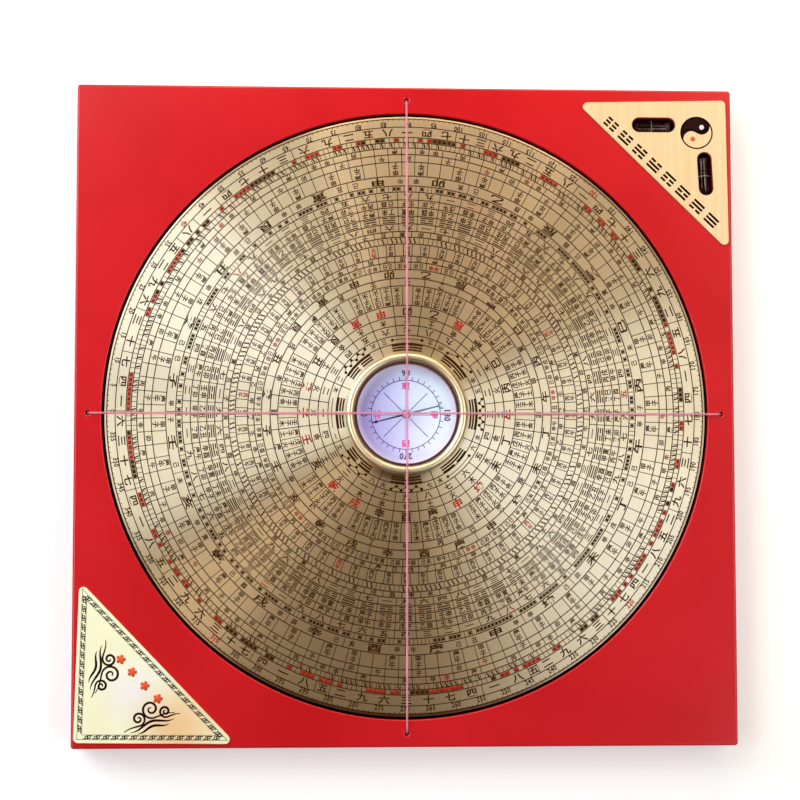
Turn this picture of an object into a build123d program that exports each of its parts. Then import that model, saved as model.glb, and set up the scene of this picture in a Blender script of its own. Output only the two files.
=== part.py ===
from build123d import *
import math
import os

# A feng shui compass: a square lacquered board with a round dial that turns in its recess,
# a glazed compass capsule in the dial, two spirit levels and two sighting threads.
# Millimetres. The origin is the centre of the board's underside, +Z is up, +X is to the
# right and +Y is away from the user.

# Shared by every cut that opens a face
overrun = 2.0

# Dial: a black moulded disc under a brass plate
dial_radius = 130.0
disc_thick = 9.8
disc_edge_chamfer = 0.8
plate_thick = 1.2
plate_bevel_width = 1.4
plate_bevel_depth = 0.5

# Board and the round recess that the dial turns in
board_thick = 20.0
rim_gap = 1.3
rim_land = 11.7
board_corner_radius = 1.4
board_top_round = 1.0
board_foot_chamfer = 0.6
recess_lip_round = 0.6
finger_hole_radius = 12.5
finger_hole_round = 1.0

# Felt ring that the dial glides on, glued into a groove in the recess floor
felt_inset = 8.0
felt_width = 22.0
felt_thick = 1.2
felt_groove_depth = 0.6
felt_side_gap = 0.1
glide_gap = 0.1

# Compass capsule
window_radius = 22.7
glass_overlap = 0.5
glass_thick = 1.6
glass_chamfer = 0.2
glass_side_gap = 0.15
seal_thick = 0.4
seal_show = 1.1
cup_ledge = 1.2
cup_rim_wall = 1.1
cup_flange_width = 1.2
cup_flange_thick = 0.8
cup_bore_gap = 0.1
cup_base_thick = 1.6
cup_base_lift = 0.6
bezel_wall = 0.8
bezel_height = 2.2
nut_width = 3.8
nut_thick = 2.6
nut_side_gap = 0.6
nut_notch_width = 3.0
nut_notch_depth = 1.2
nut_edge_chamfer = 0.3
fit_gap = 0.05

# Compass card and the pivot that stands on it
card_thick = 0.5
card_side_gap = 0.15
pivot_foot_radius = 1.6
pivot_foot_height = 0.8
pivot_foot_chamfer = 0.2
pivot_stud_radius = 0.8
pivot_shank_radius = 0.4
pivot_height = 4.5
pivot_cone_angle = 22.0
pivot_tip_radius = 0.06

# Magnetic needle with its jewelled cap
needle_length = 32.0
needle_thick = 0.3
needle_heading = 194.3
needle_root_width = 0.9
needle_tip_width = 0.5
needle_hub_radius = 2.0
arrow_length = 3.0
arrow_width = 1.5
fork_length = 2.4
fork_width = 2.2
fork_prong = 0.45
jewel_radius = 0.9
jewel_recess_depth = 0.8
jewel_crown = 0.45
jewel_recess_angle = 40.0
jewel_run_gap = 0.05
cap_wall = 0.35
cap_flange_width = 0.4
cap_flange_thick = 0.5
cap_roof = 0.35
cap_edge_round = 0.25

# Corner plates of thin brass, glued on the board
corner_plate_thick = 0.8
corner_plate_round = 2.0
corner_plate_edge = 0.15
level_plate_margin_x = 2.5
level_plate_margin_y = 4.6
level_plate_leg_x = 65.8
level_plate_leg_y = 66.9
level_plate_lean_x = 1.3
level_plate_lean_y = 0.8
emblem_plate_margin_x = 1.2
emblem_plate_margin_y = 2.7
emblem_plate_leg_x = 69.0
emblem_plate_leg_y = 68.8
emblem_plate_lean_x = -0.65
emblem_plate_lean_y = 1.6

# Spirit levels: a slot in the level plate over a milled pocket in the board
level_slot_length = 19.2
level_slot_lean_y = 3.0
level_slot_x_place_shares = (0.484, 0.166)
level_slot_y_place_shares = (0.139, 0.487)
slot_lap = 0.15
pocket_depth = 8.4
vial_radius = 3.0
vial_side_gap = 0.4
vial_end_gap = 0.1
vial_seat_gap = 0.05
vial_wall = 0.65
vial_crown = 0.15
vial_end_wall = 1.4
plug_head = 0.8
plug_stem = 1.4
plug_edge_round = 0.3
plug_gap = 0.03
fluid_gap = 0.02
bubble_length = 4.6
bubble_radius = 1.2
bubble_cover = 0.06

# Sighting threads, stretched over the dial from four holes in the board
thread_radius = 0.45
thread_hole_radius = 0.9
thread_hole_round = 0.7
thread_lift = 0.25
thread_clear = 0.3
thread_cross_gap = 0.1
thread_lip_bend = 1.2
thread_ring_bend = 60.0
thread_hump_half = 5.0
knot_radius = 1.45
knot_height = 2.2
knot_pocket_radius = 2.8
knot_pocket_depth = 4.0

# Worked out from the sizes above
recess_radius = dial_radius + rim_gap
half_side = recess_radius + rim_land
felt_proud = felt_thick - felt_groove_depth
recess_depth = felt_proud + glide_gap + disc_thick + plate_thick
floor_z = board_thick - recess_depth
felt_outer = dial_radius - felt_inset
felt_inner = felt_outer - felt_width
disc_bottom_z = floor_z + felt_proud + glide_gap
disc_top_z = disc_bottom_z + disc_thick
plate_top_z = disc_top_z + plate_thick

glass_radius = window_radius + glass_overlap
glass_seat_radius = glass_radius + glass_side_gap
cup_inner_radius = glass_seat_radius - cup_ledge
cup_outer_radius = glass_seat_radius + cup_rim_wall
cup_flange_radius = cup_outer_radius + cup_flange_width
cup_hole_radius = cup_outer_radius + cup_bore_gap
bezel_outer_radius = cup_flange_radius + fit_gap + bezel_wall
flange_top_z = plate_top_z + cup_flange_thick
glass_top_z = flange_top_z - seal_thick
glass_bottom_z = glass_top_z - glass_thick
cup_bottom_z = disc_bottom_z + cup_base_lift
cup_floor_z = cup_bottom_z + cup_base_thick
nut_inner_radius = cup_outer_radius + fit_gap
nut_outer_radius = nut_inner_radius + nut_width
nut_bottom_z = cup_bottom_z
nut_top_z = nut_bottom_z + nut_thick
bezel_top_z = plate_top_z + bezel_height

card_top_z = cup_floor_z + card_thick
foot_top_z = card_top_z + pivot_foot_height
tip_z = card_top_z + pivot_height
jewel_apex_z = tip_z + jewel_run_gap
jewel_bottom_z = jewel_apex_z - jewel_recess_depth
jewel_top_z = jewel_apex_z + jewel_crown
cap_bore_radius = jewel_radius + fit_gap / 2
cap_neck_radius = cap_bore_radius + cap_wall
cap_flange_radius = cap_neck_radius + cap_flange_width
needle_top_z = jewel_bottom_z + needle_thick
cap_flange_z = needle_top_z

pocket_radius = vial_radius + vial_side_gap
pocket_length = level_slot_length + slot_lap + slot_lap
level_slot_width = 2 * (pocket_radius - slot_lap)
pocket_floor_z = board_thick - pocket_depth
vial_axis_z = pocket_floor_z + vial_seat_gap + vial_radius
end_room = pocket_radius - math.sqrt(pocket_radius ** 2 - vial_radius ** 2)
vial_length = pocket_length - 2 * (end_room + vial_end_gap)

thread_reach = recess_radius + rim_land / 2
thread_low_z = board_thick + thread_lift + thread_radius
thread_x_z = bezel_top_z + thread_clear + thread_radius
thread_y_z = thread_x_z + thread_radius + thread_cross_gap + thread_radius
thread_ring_radius = (window_radius + bezel_outer_radius) / 2
knot_top_z = knot_pocket_depth
knot_middle_z = knot_top_z - knot_height / 2


def turned(points):
    """A solid turned about the dial's axis from a closed outline of radius and height."""
    return revolve(Plane.XZ * make_face(Polyline(*points, close=True)), Axis.Z)


def ring(inner, outer, bottom, top):
    """A plain ring on the dial's axis."""
    return turned([(inner, bottom), (outer, bottom), (outer, top), (inner, top)])


def disc(radius, bottom, top):
    """A plain round disc on the dial's axis."""
    return turned([(0, bottom), (radius, bottom), (radius, top), (0, top)])


def round_edges(solid, z, radius):
    """The round edges of a solid at one height and radius."""
    found = solid.edges().filter_by(GeomType.CIRCLE).filter_by_position(Axis.Z, z, z)
    return found.filter_by(lambda edge: math.isclose(edge.radius, radius, rel_tol=1e-5))


# Places in plan

def level_corner():
    """The level plate's right-angled corner, before it is rounded."""
    return Vector(half_side - level_plate_margin_x, half_side - level_plate_margin_y)


def emblem_corner():
    """The other corner plate's right-angled corner, before it is rounded."""
    return Vector(emblem_plate_margin_x - half_side, emblem_plate_margin_y - half_side)


def level_places():
    """Plan position and heading of the two level slots, by name."""
    corner = level_corner()
    x_along, x_drop = level_slot_x_place_shares
    y_along, y_drop = level_slot_y_place_shares
    x_place = corner - Vector(level_plate_leg_x * x_along, level_plate_leg_y * x_drop)
    y_place = corner - Vector(level_plate_leg_x * y_along, level_plate_leg_y * y_drop)
    return {
        "x": Pos(x_place.X, x_place.Y, 0),
        "y": Pos(y_place.X, y_place.Y, 0) * Rot(0, 0, 90 + level_slot_lean_y),
    }


def thread_hole_places():
    """The four thread holes, in the middle of the rim on each side of the board."""
    return [Rot(0, 0, 90 * quarter) * Pos(thread_reach, 0, 0) for quarter in range(4)]


# Board

def level_pocket():
    """One level pocket with round ends and a flat floor."""
    plan = Pos(0, 0, pocket_floor_z) * SlotOverall(pocket_length, 2 * pocket_radius)
    return extrude(plan, pocket_depth + overrun)


def thread_hole():
    """One thread hole with its knot pocket, open at both faces."""
    bore = disc(thread_hole_radius, -overrun, board_thick + overrun)
    return bore + disc(knot_pocket_radius, -overrun, knot_pocket_depth)


def base_board():
    board = extrude(Rectangle(2 * half_side, 2 * half_side), board_thick)
    board = fillet(board.edges().filter_by(Axis.Z), board_corner_radius)
    board = fillet(board.faces().sort_by(Axis.Z)[-1].edges(), board_top_round)
    board = chamfer(board.faces().sort_by(Axis.Z)[0].edges(), board_foot_chamfer)

    board -= disc(recess_radius, floor_z, board_thick + overrun)
    board -= ring(
        felt_inner - felt_side_gap,
        felt_outer + felt_side_gap,
        floor_z - felt_groove_depth,
        floor_z + overrun,
    )
    board -= disc(finger_hole_radius, -overrun, floor_z + overrun)
    for place in thread_hole_places():
        board -= place * thread_hole()

    board = fillet(round_edges(board, board_thick, recess_radius), recess_lip_round)
    board = fillet(round_edges(board, floor_z, finger_hole_radius), finger_hole_round)
    board = fillet(round_edges(board, 0, finger_hole_radius), finger_hole_round)
    board = fillet(round_edges(board, board_thick, thread_hole_radius), thread_hole_round)

    for place in level_places().values():
        board -= place * level_pocket()
    return board


def felt_ring():
    bottom = floor_z - felt_groove_depth
    return ring(felt_inner, felt_outer, bottom, bottom + felt_thick)


# Corner plates

def corner_plate(corner, x_turn, y_turn, x_leg, y_leg):
    """A thin triangular plate with a round at each corner and an eased top edge."""
    x_tip = corner + Vector(x_leg, 0).rotate(Axis.Z, x_turn)
    y_tip = corner + Vector(y_leg, 0).rotate(Axis.Z, y_turn)
    outline = Polyline(corner, x_tip, y_tip, close=True)
    plate = extrude(Pos(0, 0, board_thick) * make_face(outline), corner_plate_thick)
    return fillet(plate.edges().filter_by(Axis.Z), corner_plate_round)


def eased(plate):
    """The plate with the edges of its top face eased."""
    return chamfer(plate.faces().sort_by(Axis.Z)[-1].edges(), corner_plate_edge)


def level_plate():
    plate = corner_plate(
        level_corner(),
        180 + level_plate_lean_x,
        270 + level_plate_lean_y,
        level_plate_leg_x,
        level_plate_leg_y,
    )
    for place in level_places().values():
        window = Pos(0, 0, board_thick - overrun) * SlotOverall(level_slot_length, level_slot_width)
        plate -= place * extrude(window, corner_plate_thick + overrun + overrun)
    return eased(plate)


def emblem_plate():
    return eased(corner_plate(
        emblem_corner(),
        emblem_plate_lean_x,
        90 - emblem_plate_lean_y,
        emblem_plate_leg_x,
        emblem_plate_leg_y,
    ))


# Spirit levels, each made along X about its own middle and then set in its pocket

bore_end_radius = vial_radius - vial_wall - vial_crown
bore_middle_radius = vial_radius - vial_wall
bore_start = vial_end_wall - vial_length / 2
bore_end = vial_length / 2 - plug_head
plug_face = bore_end - plug_stem
bore_middle = (bore_start + plug_face) / 2


def lying(outline):
    """A solid turned about X from a closed outline."""
    return revolve(make_face(outline), Axis.X)


def bore_outline(inset):
    """Half section of the vial's barrel-shaped bore, which brings the bubble to its middle."""
    start = bore_start + inset
    stop = plug_face - inset
    end_radius = bore_end_radius - inset
    return [
        Line((start, 0), (start, end_radius)),
        ThreePointArc((start, end_radius), (bore_middle, bore_middle_radius - inset), (stop, end_radius)),
        Line((stop, end_radius), (stop, 0)),
        Line((stop, 0), (start, 0)),
    ]


def set_level(name, solid):
    """A level's solid in its place in the board."""
    return level_places()[name] * Pos(0, 0, vial_axis_z) * solid


def vial():
    """A glass tube with one closed, rounded end and a barrel-shaped bore."""
    body = lying(Polyline(
        (-vial_length / 2, 0),
        (-vial_length / 2, vial_radius),
        (bore_end, vial_radius),
        (bore_end, 0),
        close=True,
    ))
    body = fillet(body.faces().sort_by(Axis.X)[0].edges(), vial_end_wall)
    body -= lying(Wire(bore_outline(0)))
    socket_length = bore_end + overrun - plug_face
    socket = Rot(0, 90, 0) * Cylinder(bore_end_radius, socket_length)
    return body - Pos(plug_face + socket_length / 2, 0, 0) * socket


def vial_plug():
    """The stopper in the vial's open end: a stem in the bore and a head as wide as the tube."""
    stem_radius = bore_end_radius - plug_gap
    plug = lying(Polyline(
        (plug_face, 0),
        (plug_face, stem_radius),
        (bore_end, stem_radius),
        (bore_end, vial_radius),
        (bore_end + plug_head, vial_radius),
        (bore_end + plug_head, 0),
        close=True,
    ))
    return fillet(plug.faces().sort_by(Axis.X)[-1].edges(), plug_edge_round)


def vial_fluid():
    """The liquid, with the bubble's round-ended hollow just under the top of the bore's middle."""
    liquid = lying(Wire(bore_outline(fluid_gap)))
    bubble_z = bore_middle_radius - fluid_gap - bubble_cover - bubble_radius
    straight = bubble_length / 2 - bubble_radius
    bubble = Rot(0, 90, 0) * Cylinder(bubble_radius, 2 * straight)
    for side in (-1, 1):
        bubble += Pos(side * straight, 0, 0) * Sphere(bubble_radius)
    return liquid - Pos(bore_middle, 0, bubble_z) * bubble


# Dial

def dial_disc():
    return turned([
        (cup_hole_radius, nut_top_z),
        (nut_outer_radius + nut_side_gap, nut_top_z),
        (nut_outer_radius + nut_side_gap, disc_bottom_z),
        (dial_radius - disc_edge_chamfer, disc_bottom_z),
        (dial_radius, disc_bottom_z + disc_edge_chamfer),
        (dial_radius, disc_top_z),
        (cup_hole_radius, disc_top_z),
    ])


def dial_plate():
    return turned([
        (cup_hole_radius, disc_top_z),
        (dial_radius, disc_top_z),
        (dial_radius, plate_top_z - plate_bevel_depth),
        (dial_radius - plate_bevel_width, plate_top_z),
        (cup_hole_radius, plate_top_z),
    ])


# Compass capsule

def capsule_cup():
    cup = turned([
        (0, cup_bottom_z),
        (cup_outer_radius, cup_bottom_z),
        (cup_outer_radius, plate_top_z),
        (cup_flange_radius, plate_top_z),
        (cup_flange_radius, flange_top_z),
        (glass_seat_radius, flange_top_z),
        (glass_seat_radius, glass_bottom_z),
        (cup_inner_radius, glass_bottom_z),
        (cup_inner_radius, cup_floor_z),
        (0, cup_floor_z),
    ])
    return cup - disc(pivot_stud_radius, cup_bottom_z - overrun, cup_floor_z + overrun)


def capsule_nut():
    """The ring nut under the dial, with two notches for a pin spanner."""
    nut = ring(nut_inner_radius, nut_outer_radius, nut_bottom_z, nut_top_z)
    nut = chamfer(round_edges(nut, nut_bottom_z, nut_outer_radius), nut_edge_chamfer)
    notch_z = nut_bottom_z - overrun
    notch = Pos(0, 0, notch_z) * Rectangle(2 * (nut_outer_radius + overrun), nut_notch_width)
    return nut - extrude(notch, overrun + nut_notch_depth)


def glass_seal():
    return ring(window_radius - seal_show, glass_radius, glass_top_z, flange_top_z)


def capsule_glass():
    glass = disc(glass_radius, glass_bottom_z, glass_top_z)
    for z in (glass_bottom_z, glass_top_z):
        glass = chamfer(round_edges(glass, z, glass_radius), glass_chamfer)
    return glass


def bezel_ring():
    """The half-round brass ring that holds the glass, rebated to fit over the cup's flange."""
    rebate_radius = cup_flange_radius + fit_gap
    outer_foot = (bezel_outer_radius, flange_top_z)
    inner_foot = (window_radius, flange_top_z)
    section = Wire([
        Line((rebate_radius, plate_top_z), (bezel_outer_radius, plate_top_z)),
        Line((bezel_outer_radius, plate_top_z), outer_foot),
        ThreePointArc(outer_foot, (thread_ring_radius, bezel_top_z), inner_foot),
        Line(inner_foot, (rebate_radius, flange_top_z)),
        Line((rebate_radius, flange_top_z), (rebate_radius, plate_top_z)),
    ])
    return revolve(Plane.XZ * make_face(section), Axis.Z)


def compass_card():
    return ring(pivot_stud_radius, cup_inner_radius - card_side_gap, cup_floor_z, card_top_z)


def pivot_pin():
    """The hard steel pin: a stud in the cup's floor, a foot on the card and a fine point."""
    cone_height = (pivot_shank_radius - pivot_tip_radius) / math.tan(math.radians(pivot_cone_angle))
    return turned([
        (0, cup_bottom_z),
        (pivot_stud_radius, cup_bottom_z),
        (pivot_stud_radius, card_top_z),
        (pivot_foot_radius, card_top_z),
        (pivot_foot_radius, foot_top_z - pivot_foot_chamfer),
        (pivot_foot_radius - pivot_foot_chamfer, foot_top_z),
        (pivot_shank_radius, foot_top_z),
        (pivot_shank_radius, tip_z - cone_height),
        (pivot_tip_radius, tip_z),
        (0, tip_z),
    ])


# Needle, made along +X with its arrow forward and then turned to its heading

def needle_blade():
    half = needle_length / 2
    neck = half - arrow_length
    crotch = half - fork_length
    root = needle_root_width / 2
    tip = needle_tip_width / 2
    arrow = arrow_width / 2
    fork = fork_width / 2
    upper = [
        (0, root),
        (neck, tip),
        (neck, arrow),
        (half, 0),
    ]
    lower_arm = [(x, -y) for x, y in reversed(upper[:-1])]
    tail = [
        (-crotch, -tip),
        (-half, -fork),
        (-half, fork_prong - fork),
        (-crotch - fork_prong, 0),
        (-half, fork - fork_prong),
        (-half, fork),
        (-crotch, tip),
    ]
    outline = make_face(Polyline(*upper, *lower_arm, *tail, close=True))
    flat = outline + Circle(needle_hub_radius) - Circle(cap_neck_radius)
    blade = extrude(Pos(0, 0, needle_top_z - needle_thick) * flat, needle_thick)
    return Rot(0, 0, needle_heading) * blade


def needle_cap():
    """The turned brass cap: a neck through the blade, a flange on it and a closed top."""
    roof_z = jewel_top_z + cap_roof
    cap = turned([
        (cap_bore_radius, jewel_bottom_z),
        (cap_neck_radius, jewel_bottom_z),
        (cap_neck_radius, cap_flange_z),
        (cap_flange_radius, cap_flange_z),
        (cap_flange_radius, cap_flange_z + cap_flange_thick),
        (cap_neck_radius, cap_flange_z + cap_flange_thick),
        (cap_neck_radius, roof_z),
        (0, roof_z),
        (0, jewel_top_z),
        (cap_bore_radius, jewel_top_z),
    ])
    return fillet(round_edges(cap, roof_z, cap_neck_radius), cap_edge_round)


def needle_jewel():
    """The jewel: a small cylinder with a cone in its underside that rides on the pivot."""
    mouth = jewel_recess_depth * math.tan(math.radians(jewel_recess_angle))
    return turned([
        (mouth, jewel_bottom_z),
        (jewel_radius, jewel_bottom_z),
        (jewel_radius, jewel_top_z),
        (0, jewel_top_z),
        (0, jewel_apex_z),
    ])


# Sighting threads

def thread_route(high_z, high_reach):
    """Corner points along +X: up a hole, over its lip, across the top and down again."""
    half = [
        Vector(thread_reach, 0, knot_middle_z),
        Vector(thread_reach, 0, thread_low_z),
        Vector(high_reach, 0, high_z),
    ]
    return half + [Vector(-point.X, 0, point.Z) for point in reversed(half)]


def thread_tube(name, route):
    """A round thread along straight runs joined by arcs of the size of what they go round."""
    bends = [thread_lip_bend, thread_ring_bend, thread_ring_bend, thread_lip_bend]
    path = FilletPolyline(*route, radius=bends)
    section = (path ^ 0) * Circle(thread_radius)
    tube = sweep(section, path=path)
    expected = section.area * path.length
    print(f"{name}: length {path.length:.1f}, bend radii {bends}, "
          f"volume over section times length {tube.volume / expected:.4f}")
    return tube


def thread_knots():
    """The two knots of one thread, each pulled up against the roof of its pocket."""
    half = knot_height / 2
    knot = turned([
        (0, -half),
        (knot_radius - half, -half),
        (knot_radius, 0),
        (knot_radius - half, half),
        (0, half),
    ])
    hole = disc(thread_radius, 0, half + overrun)
    knot = Pos(0, 0, knot_middle_z) * (knot - hole)
    return [Pos(side * thread_reach, 0, 0) * knot for side in (-1, 1)]


across = Rot(0, 0, 90)
thread_x = thread_tube("sight_thread_x", thread_route(thread_x_z, thread_ring_radius))
thread_y = across * thread_tube("sight_thread_y", thread_route(thread_y_z, thread_hump_half))

nodes = {
    "base_board": base_board(),
    "dial_felt": felt_ring(),
    "level_plate": level_plate(),
    "emblem_plate": emblem_plate(),
    "sight_thread_x": thread_x,
    "sight_thread_y": thread_y,
    "thread_knots_x": Compound(children=thread_knots()),
    "thread_knots_y": Compound(children=[across * knot for knot in thread_knots()]),
    "dial_disc": dial_disc(),
    "dial_plate": dial_plate(),
    "capsule_cup": capsule_cup(),
    "capsule_nut": capsule_nut(),
    "bezel_ring": bezel_ring(),
    "glass_seal": glass_seal(),
    "capsule_glass": capsule_glass(),
    "compass_card": compass_card(),
    "pivot_pin": pivot_pin(),
    "needle_blade": needle_blade(),
    "needle_cap": needle_cap(),
    "needle_jewel": needle_jewel(),
}
for name in ("x", "y"):
    nodes["level_vial_" + name] = set_level(name, vial())
    nodes["vial_plug_" + name] = set_level(name, vial_plug())
    nodes["vial_fluid_" + name] = set_level(name, vial_fluid())

os.makedirs("parts", exist_ok=True)
for name, solid in nodes.items():
    export_step(solid, f"parts/{name}.step")
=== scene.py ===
"""The looks of a feng shui compass: its finishes, printed rings, threads, lamps and camera.

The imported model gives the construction. This script dresses it, and adds what is printed on it.
Lengths are millimetres in the row frame and angles are degrees, unless a name says otherwise.
A bearing is counted counter-clockwise from the right-hand side, seen from above.
"""

import logging
from dataclasses import dataclass, field
from enum import Enum

import bpy
import numpy as np
from mathutils import Matrix, Vector


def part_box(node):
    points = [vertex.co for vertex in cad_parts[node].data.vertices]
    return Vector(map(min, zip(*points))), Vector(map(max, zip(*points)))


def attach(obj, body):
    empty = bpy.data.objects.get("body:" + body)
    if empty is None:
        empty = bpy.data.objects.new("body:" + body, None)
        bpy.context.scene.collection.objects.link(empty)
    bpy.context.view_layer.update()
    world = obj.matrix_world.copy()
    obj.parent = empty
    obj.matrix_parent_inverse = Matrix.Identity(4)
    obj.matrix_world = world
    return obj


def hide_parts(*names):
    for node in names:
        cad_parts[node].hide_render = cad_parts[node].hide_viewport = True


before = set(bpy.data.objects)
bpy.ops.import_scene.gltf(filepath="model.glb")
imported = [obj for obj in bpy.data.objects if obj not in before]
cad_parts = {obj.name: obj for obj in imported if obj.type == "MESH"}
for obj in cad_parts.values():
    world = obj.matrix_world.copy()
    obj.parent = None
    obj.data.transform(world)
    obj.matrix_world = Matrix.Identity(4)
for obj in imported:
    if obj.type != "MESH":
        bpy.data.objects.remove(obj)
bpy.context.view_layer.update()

MM = 0.001
INK_THICKNESS = 0.02
INK_BURIED = 0.01
LOG = logging.getLogger("compass")
Array = np.ndarray


# Colours, nodes and meshes


def linear(hex_colour: str) -> tuple[float, float, float, float]:
    """Turns an sRGB hex value to the linear colour that a shader takes.

    Args:
        hex_colour: six hex digits, such as "C8141C".

    Returns:
        Red, green, blue and an alpha of one. Each channel c is c / 12.92 when small, and
        otherwise ((c + 0.055) / 1.055) to the power 2.4.
    """
    channels = np.array([int(hex_colour[i:i + 2], 16) for i in (0, 2, 4)]) / 255
    low = channels / 12.92
    high = ((channels + 0.055) / 1.055) ** 2.4
    red, green, blue = np.where(channels <= 0.04045, low, high)
    return float(red), float(green), float(blue), 1.0


def add_node(tree: bpy.types.NodeTree, kind: str, inputs: dict | None = None, **settings) -> bpy.types.Node:
    """Adds a shader node.

    Args:
        tree: the material's node tree.
        kind: the node's type name.
        inputs: what each input gets, by name or number: another node's output, or a value.
        **settings: the node's own settings.

    Returns:
        The new node.
    """
    node = tree.nodes.new(kind)
    for name, value in settings.items():
        setattr(node, name, value)
    for key, value in (inputs or {}).items():
        if isinstance(value, bpy.types.NodeSocket):
            tree.links.new(value, node.inputs[key])
        else:
            node.inputs[key].default_value = value
    return node


def triangle_mesh(name: str, points: Array, triangles: Array) -> bpy.types.Mesh:
    """Makes a mesh from whole arrays.

    Args:
        name: the mesh's name.
        points: (V, 3) places in millimetres.
        triangles: (T, 3) point numbers, counter-clockwise seen from outside.

    Returns:
        The mesh, in metres.
    """
    mesh = bpy.data.meshes.new(name)
    mesh.vertices.add(len(points))
    mesh.vertices.foreach_set("co", (points * MM).astype(np.float32).ravel())
    mesh.loops.add(triangles.size)
    mesh.loops.foreach_set("vertex_index", triangles.astype(np.int32).ravel())
    mesh.polygons.add(len(triangles))
    mesh.polygons.foreach_set("loop_start", np.arange(0, triangles.size, 3, dtype=np.int32))
    mesh.update(calc_edges=True)
    return mesh


def place_piece(data: bpy.types.ID, body: str, material: bpy.types.Material) -> bpy.types.Object:
    """Links a new piece, dresses it, and lets it ride on a body.

    Args:
        data: its mesh or curve, which also names the piece.
        body: the body that it moves with.
        material: its finish.

    Returns:
        The piece's object.
    """
    piece = bpy.data.objects.new(data.name, data)
    bpy.context.scene.collection.objects.link(piece)
    data.materials.append(material)
    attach(piece, body)
    LOG.info("piece %s rides on %s", piece.name, body)
    return piece


def dress_nodes(material: bpy.types.Material, *names: str) -> None:
    """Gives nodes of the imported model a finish.

    Args:
        material: the finish.
        *names: the nodes' names.
    """
    for name in names:
        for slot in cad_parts[name].material_slots:
            slot.material = material
        LOG.info("node %s wears %s", name, material.name)


def at_bearing(radius: Array | float, bearing: Array | float) -> Array:
    """Plan points at a radius and bearing: radius times (cosine, sine)."""
    turn = np.radians(bearing)
    return np.stack(np.broadcast_arrays(radius * np.cos(turn), radius * np.sin(turn)), axis=-1)


def quarter_turn(vectors: Array) -> Array:
    """Plan vectors turned a quarter counter-clockwise: (x, y) becomes (-y, x)."""
    return np.stack([-vectors[..., 1], vectors[..., 0]], axis=-1)


# Flat printed shapes


@dataclass(frozen=True)
class FlatShape:
    """A filled outline in its own plan, about one unit across.

    Args:
        points: (V, 2) places.
        triangles: (T, 3) counter-clockwise point numbers.
    """

    points: Array
    triangles: Array

    @property
    def rim(self) -> Array:
        """The (E, 2) edges that only one triangle runs along, with the inside on their left."""
        runs = np.concatenate([self.triangles[:, [0, 1]], self.triangles[:, [1, 2]], self.triangles[:, [2, 0]]])
        count = len(self.points)
        forth = runs[:, 0] * count + runs[:, 1]
        back = runs[:, 1] * count + runs[:, 0]
        return runs[~np.isin(forth, back)]


def fan(outline: Array) -> FlatShape:
    """A convex or star-shaped outline about the origin, filled from its middle.

    Args:
        outline: (N, 2) points, counter-clockwise.

    Returns:
        The shape: triangle k joins the middle to outline points k and k + 1.
    """
    count = len(outline)
    ring = np.arange(count)
    triangles = np.stack([np.full(count, count), ring, (ring + 1) % count], axis=1)
    return FlatShape(np.vstack([outline, np.zeros((1, 2))]), triangles)


def strip(left: Array, right: Array) -> FlatShape:
    """The area between two lines of points.

    Args:
        left: (N, 2) points on the left of the way along.
        right: (N, 2) points on the right.

    Returns:
        The shape: each step between the two lines is two triangles.
    """
    count = len(left)
    step = np.arange(count - 1)
    first = np.stack([step, step + count, step + count + 1], axis=1)
    second = np.stack([step, step + count + 1, step + 1], axis=1)
    return FlatShape(np.vstack([left, right]), np.vstack([first, second]))


SQUARE = strip(np.array([[-0.5, 0.5], [0.5, 0.5]]), np.array([[-0.5, -0.5], [0.5, -0.5]]))
DOT = fan(at_bearing(0.5, np.arange(0, 360, 45.0)))


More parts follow.
